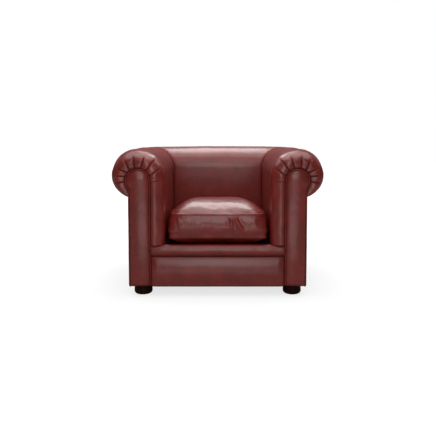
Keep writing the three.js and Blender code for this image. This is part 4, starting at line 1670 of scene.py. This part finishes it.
@dataclass
class SeatCushion:
    """The loose seat cushion: crowned top, boxing between two knife seams, and a soft belly.

    Its outline is a square with power-curve corners, stretched to the seat. With a and b the shares of
    its half sizes, the belly is depth * sqrt((1 - a^4) * (1 - b^4)). The crown rises from the seam as
    height * sin^n of the share of its reach, with n from 0.72 at the front to 0.88 at the sides.
    """

    lower_seam_rise: float = 0.032
    boxing: float = 0.124
    crown: float = 0.055
    crown_reach: tuple[float, float] = (0.122, 0.165)
    belly: float = 0.046
    bulge: float = 0.006
    draw_in: float = 0.006
    corner_power: float = 8.0
    lower_corner_power: float = 18.0
    crown_power: float = 3.0
    lower_spread: float = 0.008
    longest_wrinkle: float = 0.085
    rear_sag: float = 0.022
    rear_lean: float = 0.030
    core_inset: float = 0.018
    crowding: float = 0.35
    seam_groove: float = 0.0009
    # Painted shade, with matt leather, in a narrow line along both knife seams.
    seam_shade_and_matt: float = 0.5
    pucker: Pucker = Pucker(0.0006, 0.0037, 0.031, 1.3)
    top_uneven: Undulation = Undulation(0.0012, 0.17, 61)
    skin_uneven: tuple[Undulation, ...] = (Undulation(0.0003, 0.045, 62), Undulation(0.0001, 0.018, 63))
    side_steps: int = 48
    under_rings: int = 10
    boxing_rings: int = 12
    crown_rings: int = 18
    around_detail: int = 4
    up_detail: int = 3
    swell_cap: float = 0.010
    wrinkles: tuple[Wrinkle, ...] = (
        Wrinkle((0.071, 0.408), (0.074, 0.336), 0.0075, 0.0042),
        Wrinkle((0.088, 0.412), (0.130, 0.338), 0.0095, 0.0056),
        Wrinkle((0.080, 0.406), (0.099, 0.336), 0.0060, -0.0022),
        Wrinkle((0.104, 0.410), (0.146, 0.352), 0.0110, -0.0018),
        Wrinkle((0.050, 0.408), (0.056, 0.362), 0.0090, -0.0014),
        Wrinkle((-0.203, 0.402), (-0.195, 0.350), 0.0070, 0.0030),
        Wrinkle((-0.216, 0.404), (-0.207, 0.352), 0.0070, -0.0014),
        Wrinkle((-0.120, 0.404), (-0.130, 0.366), 0.0110, 0.0014),
        Wrinkle((-0.030, 0.402), (-0.026, 0.360), 0.0120, 0.0014),
        Wrinkle((0.188, 0.404), (0.200, 0.360), 0.0100, 0.0016),
    )

    def __post_init__(self) -> None:
        """Reads the cushion's place from the frame."""
        low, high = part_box("cushion_cover")
        self.half_x = (high.x - low.x) / 2 - self.bulge
        self.half_y = (high.y - low.y) / 2 - self.bulge
        self.centre_y = (high.y + low.y) / 2
        self.seat = low.z
        self.lower_seam = low.z + self.lower_seam_rise
        self.upper_seam = self.lower_seam + self.boxing

    def _square(self) -> np.ndarray:
        """Walks round a square of half width 1 with steps that are closer at its corners.

        Returns:
            The points, starting at the front left.
        """
        even = 2 * np.arange(self.side_steps) / self.side_steps - 1
        t = self.crowding * np.sin(np.pi / 2 * even) + (1 - self.crowding) * even
        side = np.column_stack([t, -np.ones_like(t)])
        turns = [np.array([[c, s], [-s, c]]) for c, s in ((1, 0), (0, 1), (-1, 0), (0, -1))]
        return np.concatenate([side @ turn for turn in turns])

    def rings(self, inset: float = 0.0) -> np.ndarray:
        """Rings from the middle of the underside, up the boxing, and in over the crown.

        Args:
            inset: How far inside the cover.

        Returns:
            Rings by points by 3.
        """
        a, b = self._square().T
        under = np.sin(np.pi / 2 * np.linspace(0.03, 1, self.under_rings))
        over = np.sin(np.pi / 2 * np.linspace(1, 0.004, self.crown_rings))
        rise = np.linspace(0, 1, self.boxing_rings)[1:-1]
        share = np.concatenate([under, np.ones(len(rise)), over])[:, None]
        level = np.concatenate([np.zeros(len(under)), rise, np.ones(len(over))])[:, None]
        bulge = self.bulge * np.sin(np.pi * level)
        spread = self.lower_spread * smoothstep(0.6, 0.0, level)
        sa, sb = a * share, b * share
        power = self.lower_corner_power + (self.corner_power - self.lower_corner_power) * level
        power = power + (self.crown_power - self.corner_power) * (1 - share) * (level > 0.5)
        rounding = (np.abs(a) ** power + np.abs(b) ** power) ** (-1 / power)
        x = sa * rounding * (self.half_x - inset + bulge + spread - self.draw_in * (1 - b * b))
        y = sb * rounding * (self.half_y - inset + bulge - self.draw_in * (1 - a * a))
        full = np.sqrt((1 - np.clip(np.abs(sa), 0, 1) ** 4) * (1 - np.clip(np.abs(sb), 0, 1) ** 4))
        beside = a ** 4 / (a ** 4 + b ** 4)
        reach = self.crown_reach[0] * beside / self.half_x + self.crown_reach[1] * (1 - beside) / self.half_y
        dome = np.sin(np.pi / 2 * np.clip((1 - share) / reach, 0, 1)) ** (0.72 + 0.16 * beside)
        top = self.upper_seam - inset + self.crown * dome
        bottom = np.maximum(self.seat + inset, self.lower_seam + inset / 2 - self.belly * full)
        boxing = self.lower_seam + (self.upper_seam - self.lower_seam) * level
        z = np.where(share < 1, np.where(level > 0.5, top, bottom), boxing)
        sag = self.rear_sag * smoothstep(0.35, 1.0, np.abs(sa)) * smoothstep(-0.5, 1.0, sb)
        lean = self.rear_lean * smoothstep(-0.4, 1.0, sb)
        z = z - (sag + lean) * level
        return points_at(x, self.centre_y + y, z)

    def _seam_rings(self, detail: int = 1) -> tuple[int, int]:
        """The numbers of the rings on the lower and the upper seam, at a detail of so many times."""
        return detail * (self.under_rings - 1), detail * (self.under_rings + self.boxing_rings - 2)

    def finer(self, rings: np.ndarray) -> np.ndarray:
        """The same rings with more points, by cubics that stop at both seams, so that these stay sharp.

        Args:
            rings: Rings by points by 3.

        Returns:
            More rings of more points.
        """
        low, high = self._seam_rings()
        around = refined(rings.swapaxes(0, 1), self.around_detail, closed=True).swapaxes(0, 1)
        parts = [around[:low + 1], around[low:high + 1], around[high:]]
        smooth = [refined(part, self.up_detail) for part in parts]
        return np.concatenate([smooth[0], smooth[1][1:], smooth[2][1:]])

    def stuffed(self, obj: Object, count: int) -> np.ndarray:
        """Blows the cover up against its seams as cloth, and caps how far each point moves.

        Args:
            obj: The cushion's mesh, its points ring by ring.
            count: Points in a ring.

        Returns:
            The new places of its points.
        """
        rest = self._places(obj)
        seams = np.concatenate([ring * count + np.arange(count) for ring in self._seam_rings()])
        pins = obj.vertex_groups.new(name="seams")
        pins.add(seams.tolist(), 1.0, "REPLACE")
        stuffing = obj.modifiers.new("stuffing", "CLOTH")
        for name, value in STUFFING.items():
            setattr(stuffing.settings, name, value)
        stuffing.settings.effector_weights.gravity = 0.0
        stuffing.settings.vertex_group_mass = pins.name
        stuffing.point_cache.frame_end = STUFFING_FRAMES
        for number in range(1, STUFFING_FRAMES + 1):
            bpy.context.scene.frame_set(number)
        moved = self._places(obj.evaluated_get(bpy.context.evaluated_depsgraph_get()))
        obj.modifiers.remove(stuffing)
        bpy.context.scene.frame_set(1)
        step = self._long_waves((moved - rest).reshape(-1, count, 3)).reshape(-1, 3)
        length = np.linalg.norm(step, axis=1, keepdims=True)
        capped = self.swell_cap * np.tanh(length / self.swell_cap)
        LOG.info("cushion stuffing: points moved up to %.1f mm", 1000 * float(length.max()))
        return rest + step * capped / np.maximum(length, 1e-9)

    def _places(self, obj: Object) -> np.ndarray:
        """The places of a mesh's points, one a row."""
        return np.array([point.co for point in obj.data.vertices])

    def _long_waves(self, step: np.ndarray) -> np.ndarray:
        """Keeps the long waves of a movement round each ring, each harmonic k times exp(-(k / most)^2).

        Args:
            step: Rings by points by 3.

        Returns:
            The calmed movement.
        """
        rim = 4 * (self.half_x + self.half_y)
        rings = self.rings()
        round_ring = np.linalg.norm(rings - np.roll(rings, 1, axis=1), axis=-1).sum(1)
        most = np.maximum(np.minimum(round_ring, rim) / self.longest_wrinkle, 0.5)
        waves = np.fft.rfft(step, axis=1)
        order = np.arange(waves.shape[1])
        waves *= np.exp(-(order / most[:, None]) ** 2)[..., None]
        return np.fft.irfft(waves, n=step.shape[1], axis=1)

    def detailed(self, rings: np.ndarray) -> tuple[np.ndarray, np.ndarray]:
        """Adds what the simulation leaves out: drawn-in seams, puckers along them, and wrinkles.

        Args:
            rings: The stuffed cushion, rings by points by 3.

        Returns:
            The finished points, and the painted shade and matt along the seams.
        """
        normals = -grid_normals(np.concatenate([rings[:, -1:], rings, rings[:, :1]], axis=1))[:, 1:-1]
        run = distance_along(rings)
        seams = self._seam_rings(self.up_detail)
        along = distance_along(rings[seams[1]])[None]
        height = np.zeros(rings.shape[:2])
        shade_and_matt = np.zeros(rings.shape[:2])
        for number, ring in enumerate(seams):
            distance = np.abs(run - run[ring])
            gathers = self.pucker.at(along, number) * (1 - np.exp(-distance / 0.004))
            height += gathers * np.exp(-distance / 0.010)
            height -= self.seam_groove * np.exp(-distance / 0.0030)
            # A narrow line of painted shade along each seam.
            shade_and_matt = np.maximum(shade_and_matt, self.seam_shade_and_matt * np.exp(-distance / 0.0024))
        x, y, z = np.moveaxis(rings, -1, 0)
        front = smoothstep(self.centre_y - 0.6 * self.half_y, self.centre_y - 0.93 * self.half_y, y)
        boxing = Band((self.lower_seam, self.lower_seam + 0.03),
                      (self.upper_seam - 0.006, self.upper_seam + 0.004)).at(z)
        for wrinkle in self.wrinkles:
            height -= wrinkle.at(x, z) * front * boxing
        top = smoothstep(self.upper_seam - 0.01, self.upper_seam + 0.02, z)
        height += self.top_uneven.at(rings) * top + sum(part.at(rings) for part in self.skin_uneven)
        return rings + normals * height[..., None], np.clip(shade_and_matt, 0, 1)

    def build(self) -> None:
        """Makes and dresses the cushion's cover and its foam."""
        base = self.rings()
        count = base.shape[1]
        start = closed_rings("cushion_start", base)
        points = self.stuffed(start, count).reshape(base.shape)
        bpy.data.objects.remove(start)
        outer, shade_and_matt = self.detailed(self.finer(points))
        cover = closed_rings("cushion_leather", outer, shade_and_matt)
        dress(cover, Slot.LEATHER, CUSHION, ["cushion_cover"])
        core = closed_rings("cushion_foam", self.rings(self.core_inset))
        dress(core, Slot.FOAM, CUSHION, ["cushion_core"])


@dataclass
class CushionZip:
    """The zip along the rear boxing: its two tapes as one strip with a coil of teeth, and a slider without its
    pull.
    """

    tape_half: float = 0.010
    tape_thickness: float = 0.0008
    proud: float = 0.0006
    teeth: int = 150
    tooth_rise: float = 0.0016
    slider: tuple[float, float, float] = (0.009, 0.004, 0.011)
    slider_share: float = 0.94
    slider_rise: float = 0.0028

    def build(self) -> None:
        """Makes and dresses the tape with its teeth, and the slider."""
        low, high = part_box("cushion_zip")
        half, y, z = (high.x - low.x) / 2, high.y + self.proud, (low.z + high.z) / 2
        x = np.linspace(-half, half, self.teeth * 4)[:, None]
        across = np.linspace(-1, 1, 25)
        coil = self.tooth_rise * np.sqrt(np.clip(1 - (across / 0.3) ** 2, 0, 1))
        ribs = 0.72 + 0.28 * np.sin(2 * np.pi * np.arange(self.teeth * 4) / 4)[:, None]
        face = points_at(x, y + coil * ribs, z + self.tape_half * across)
        back = face.copy()
        back[..., 1] = y - self.tape_thickness
        zipper = shell("cushion_zip_tape", face, back)
        dress(zipper, Slot.ZIP, CUSHION, ["cushion_zip"])
        turn = np.linspace(0, 2 * np.pi, 28, endpoint=False)
        size = np.array([0.6, 0.95, 1.0, 0.95, 0.6])[:, None]
        level = np.array([-1, -0.8, 0, 0.8, 1])[:, None] * self.slider[1] / 2
        outline = np.stack([np.cos(turn), np.sin(turn)])
        boxy = np.sign(outline) * np.abs(outline) ** 0.6
        rings = points_at(self.slider_share * half + size * self.slider[0] / 2 * boxy[0],
                          y + self.slider_rise + level, z + size * self.slider[2] / 2 * boxy[1])
        slider = closed_rings("zip_slider", rings)
        dress(slider, Slot.ZINC, CUSHION)


# Seat deck and base


@dataclass
class SeatDeck:
    """What the cushion lies on: a felted pad in lining cloth, and the cloth over the springs."""

    crown: float = 0.004
    edge: float = 0.010
    uneven: Undulation = Undulation(0.0006, 0.09, 71)
    cloth_thickness: float = 0.0012
    spring_mark: float = 0.0003
    mark_spacing: float = 0.02
    steps: int = 70

    def _pad(self) -> tuple[np.ndarray, np.ndarray]:
        """The pad's slab, crowned as a paraboloid, with its upper edges rounded as quarter circles.

        Returns:
            Top and bottom, rows by columns by 3.
        """
        low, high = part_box("deck_pad")
        share = np.sin(np.pi / 2 * np.linspace(-1, 1, self.steps))
        a, b = np.meshgrid(share, share, indexing="ij")
        x = (low.x + high.x) / 2 + (high.x - low.x) / 2 * a
        y = (low.y + high.y) / 2 + (high.y - low.y) / 2 * b
        uneven = self.uneven.at(points_at(x, y, 0.0))
        lift = -self.crown * (a ** 2 + b ** 2 - a ** 2 * b ** 2) + np.minimum(uneven, 0)
        side = np.minimum(np.minimum(x - low.x, high.x - x), np.minimum(y - low.y, high.y - y))
        fall = self.edge * (1 - np.sqrt(1 - (1 - np.clip(side / self.edge, 0, 1)) ** 2))
        return points_at(x, y, high.z + lift - fall), points_at(x, y, low.z)

    def build(self) -> None:
        """Makes and dresses the pad and the spring cloth."""
        pad = shell("seat_deck_pad", *self._pad())
        dress(pad, Slot.CLOTH, replaces=["deck_pad"])
        low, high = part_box("deck_cloth")
        front_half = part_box("front_rail")[1].x
        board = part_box("arm_front_board_right")[1].y
        y = np.linspace(low.y, high.y, self.steps)[None]
        half = np.where(y < board, front_half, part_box("back_tack_rail")[1].x)
        x = np.linspace(-1, 1, self.steps)[:, None] * half
        z = high.z + self.spring_mark * np.sin(x / self.mark_spacing) * np.sin(y / self.mark_spacing)
        top = points_at(x, y, z)
        cover = shell("spring_cloth", top, top - np.array([0, 0, self.cloth_thickness]))
        dress(cover, Slot.CLOTH, replaces=["deck_cloth"])


@dataclass
class DustCover:
    """Black cloth tacked under the frame, with its rear corners cut round."""

    plan: Plan
    thickness: float = 0.0010
    sag: float = 0.0016
    lining_gap: float = 0.0002
    steps: int = 80

    def build(self) -> None:
        """Makes and dresses the cover."""
        low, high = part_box("dust_cover")
        t = np.linspace(-1, 1, self.steps)
        y = (low.y + (high.y - low.y) * (t + 1) / 2)[None]
        radius = self.plan.body_corner
        past = np.clip((y - (high.y - radius)) / radius, 0, 1)
        half = high.x - radius * (1 - np.sqrt(1 - past ** 2))
        x = t[:, None] * half
        hang = self.sag * (1 - t[:, None] ** 2) * (1 - t[None] ** 2)
        top = points_at(x, y, high.z - self.lining_gap - hang)
        cover = shell("underside_cloth", top, top - np.array([0, 0, self.thickness]))
        dress(cover, Slot.CLOTH, replaces=["dust_cover"])


@dataclass
class BunFoot:
    """A turned foot: flat base, a quarter round up to its belly, and a slight taper to its top."""

    base_share: float = 0.646
    taper: float = 0.003
    rounding: float = 0.017
    top_round: float = 0.004
    base_lip: float = 0.0015
    middle: float = 0.0005
    around: int = 96

    def build(self, end: End, side: Side) -> None:
        """Makes and dresses one foot.

        Args:
            end: Front or rear.
            side: Left or right.
        """
        node = f"foot_{end.value}_{side.word}"
        low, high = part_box(node)
        centre = (low + high) / 2
        belly = (high.x - low.x) / 2
        base = belly * self.base_share
        top = high.z - low.z
        shoulder = belly - self.taper - self.top_round
        turn = np.linspace(0, np.pi / 2, 20)
        radius = np.concatenate([[self.middle, base * 0.5, base - self.base_lip],
                                 base + (belly - base) * np.sin(turn),
                                 belly - self.taper * np.linspace(0.1, 0.8, 6) ** 1.5,
                                 shoulder + self.top_round * np.cos(turn[::3]),
                                 [shoulder * 0.5, self.middle]])[:, None]
        height = np.concatenate([[0, 0, 0], 0.0004 + self.rounding * (1 - np.cos(turn)),
                                 np.linspace(self.rounding + 0.004, top - self.top_round, 6),
                                 top - self.top_round + self.top_round * np.sin(turn[::3]),
                                 [top, top]])[:, None]
        angle = np.linspace(0, 2 * np.pi, self.around, endpoint=False)
        rings = points_at(centre.x + radius * np.cos(angle), centre.y + radius * np.sin(angle),
                          low.z + height)
        foot = closed_rings(f"bun_{node}", rings)
        dress(foot, Slot.FOOT, replaces=[node])


@dataclass
class HiddenFrame:
    """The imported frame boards, springs and bolts, which keep their shape and get real finishes."""

    metal_words: tuple[str, ...] = ("seat_spring", "foot_bolt")

    def dress(self) -> None:
        """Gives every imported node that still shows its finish."""
        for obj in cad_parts.values():
            if not obj.hide_render:
                slot = Slot.ZINC if obj.name.startswith(self.metal_words) else Slot.BEECH
                obj.data.materials.clear()
                obj.data.materials.append(finish(slot))
                LOG.info("%s: packed node, %s", obj.name, slot.value)


# Studio


@dataclass(frozen=True)
class Lamp:
    """A soft rectangular lamp. Its brightness is that of its face, where 1 is white."""

    name: str
    place: tuple[float, float, float]
    aim: tuple[float, float, float]
    size: tuple[float, float]
    brightness: float

    def build(self) -> None:
        """Hangs the lamp, with a power of brightness * pi * area."""
        data = bpy.data.lights.new(self.name, "AREA")
        data.shape = "RECTANGLE"
        data.size, data.size_y = self.size
        data.energy = self.brightness * np.pi * self.size[0] * self.size[1]
        obj = placed(self.name, data)
        obj.location = self.place
        obj.rotation_euler = (Vector(self.aim) - Vector(self.place)).to_track_quat("-Z", "Y").to_euler()
        obj.visible_camera = False


@dataclass
class Studio:
    """A pale floor under soft lamps, a white surround, and the camera of the front view."""

    sensor: float = 36.0
    lens: float = 45.1
    camera_place: tuple[float, float, float] = (0.0018, -3.236, 0.841)
    pitch_down: float = 4.19
    shift: float = -0.1
    floor_half: float = 12.0
    floor_grey: float = 0.3
    floor_glow: float = 0.74
    floor_gloss: float = 2.2
    ambient: float = 0.6
    dim_side: float = 0.02
    backdrop_gloss: float = 0.35
    behind: tuple[float, float] = (0.3, 0.7)
    above: tuple[float, float] = (0.18, 0.4)
    fade: tuple[float, float] = (0.9, 3.5)
    patch_near: tuple[float, float] = (-1.5, -2.2)
    patch_far: tuple[float, float] = (-3.8, -3.0)
    patch_half: tuple[float, float] = (0.9, 0.45)
    lamps: tuple[Lamp, ...] = (
        Lamp("overhead_softbox", (0, 1.22, 2.6), (0, 1.20, 0), (1.3, 1.45), 5.3),
        Lamp("overhead_bar", (0, -0.10, 2.5), (0, -0.12, 0), (3.6, 1.2), 2.1),
        Lamp("high_front_softbox", (0, -2.3, 2.9), (0, 0, 0.6), (1.6, 1.8), 1.6),
        Lamp("front_softbox", (0, -4.6, 1.75), (0, 0, 0.5), (1.4, 2.3), 2.7),
    )

    def camera(self) -> None:
        """Sets up the camera."""
        data = bpy.data.cameras.new("front_camera")
        data.sensor_width = self.sensor
        data.lens = self.lens
        data.shift_y = self.shift
        obj = placed("front_camera", data)
        obj.location = self.camera_place
        obj.rotation_euler = (np.radians(90 - self.pitch_down), 0, 0)
        bpy.context.scene.camera = obj

    def surround(self) -> None:
        """A world that is white to the eye and dimmer as a light.

        Gloss mirrors it behind and above the chair alone, and weakly. Everywhere else it is nearly dark.
        """
        world = bpy.data.worlds.new("studio")
        bpy.context.scene.world = world
        world.use_nodes = True
        tree = world.node_tree
        tree.nodes.clear()
        path = add_node(tree, "LightPath").outputs
        seen = add_node(tree, "Math", {
            0: path["Is Camera Ray"], 1: path["Is Transmission Ray"]}, operation="MAXIMUM")
        direction = add_node(tree, "TexCoord").outputs["Generated"]
        toward = add_node(tree, "SeparateXYZ", {0: direction}).outputs
        behind, above = [
            add_node(tree, "MapRange", {"Value": toward[axis], "From Min": start, "From Max": end})
            for axis, (start, end) in (("Y", self.behind), ("Z", self.above))]
        sector = add_node(tree, "Math", {0: behind, 1: above}, operation="MULTIPLY")
        backdrop = add_node(tree, "MapRange", {
            "Value": sector, "To Min": self.dim_side, "To Max": self.backdrop_gloss})
        mirrored = add_node(tree, "Mix", {
            0: path["Is Glossy Ray"], 2: self.ambient, 3: backdrop}, data_type="FLOAT")
        strength = add_node(tree, "Mix", {0: seen, 2: mirrored, 3: 1.0}, data_type="FLOAT")
        glow = add_node(tree, "Background", {"Color": (1, 1, 1, 1), "Strength": strength})
        output = add_node(tree, "OutputWorld", {"Surface": glow})
        output.is_active_output = True

    def floor(self) -> None:
        """A pale floor that looks white in the open and keeps the chair's shadow.

        Gloss mirrors a glowing patch of it in front of the chair, which the eye doesn't see; it is no lamp,
        but its glow stands in for one in the leather's reflections.
        """
        half = self.floor_half
        corners = [(-half, -half, 0), (half, -half, 0), (half, half, 0), (-half, half, 0)]
        mesh = bpy.data.meshes.new("floor")
        mesh.from_pydata(corners, [], [(0, 1, 2, 3)])
        material, tree, place = new_material("pale_floor")
        path = add_node(tree, "LightPath").outputs
        far = add_node(tree, "VectorMath", {0: place}, operation="LENGTH")
        fade = add_node(tree, "MapRange", {
            "Value": far, "From Min": self.fade[0], "From Max": self.fade[1], "To Min": self.floor_glow,
            "To Max": 1.0})
        open_glow = add_node(tree, "Math", {0: path["Is Camera Ray"], 1: fade}, operation="MULTIPLY")
        split = add_node(tree, "SeparateXYZ", {0: place}).outputs
        wide = add_node(tree, "Math", {0: split["X"]}, operation="ABSOLUTE")
        near, far, middle = [
            add_node(tree, "MapRange", {
                "Value": value, "From Min": start, "From Max": end, "To Max": most})
            for value, (start, end), most in ((split["Y"], self.patch_near, 1.0),
                                              (split["Y"], self.patch_far, 1.0),
                                              (wide, self.patch_half, self.floor_gloss))]
        patch = add_node(tree, "Math", {0: near, 1: far}, operation="MULTIPLY")
        patch = add_node(tree, "Math", {0: patch, 1: middle}, operation="MULTIPLY")
        glow = add_node(tree, "Math", {
            0: path["Is Glossy Ray"], 1: patch, 2: open_glow}, operation="MULTIPLY_ADD")
        matt = add_node(tree, "BsdfDiffuse", {"Color": (*[self.floor_grey] * 3, 1)})
        white = add_node(tree, "Emission", {"Color": (1, 1, 1, 1), "Strength": glow})
        mesh.materials.append(surfaced(material, add_node(tree, "AddShader", {0: matt, 1: white})))
        obj = placed("floor", mesh)

    def build(self) -> None:
        """Sets up camera, lamps, surround and floor."""
        self.camera()
        self.surround()
        self.floor()
        for lamp in self.lamps:
            lamp.build()
        bpy.context.scene.view_settings.view_transform = "Standard"


def main() -> None:
    """Builds the chair's sub-assemblies in order, then the studio."""
    logging.basicConfig(level=logging.INFO, format="%(name)s: %(message)s")
    plan = Plan.from_frame()
    section = RollSection(plan)
    for side in Side:
        ArmUpholstery(plan, section).build(side)
        ArmFacing(plan).build(side)
    for part in (BackUpholstery(plan, section), OutsidePanels(plan), FrontBorder(plan), SeatCushion(),
                 CushionZip(), SeatDeck(), DustCover(plan)):
        part.build()
    for end in End:
        for side in Side:
            BunFoot().build(end, side)
    HiddenFrame().dress()
    Studio().build()


if __name__ == "__main__":
    main()
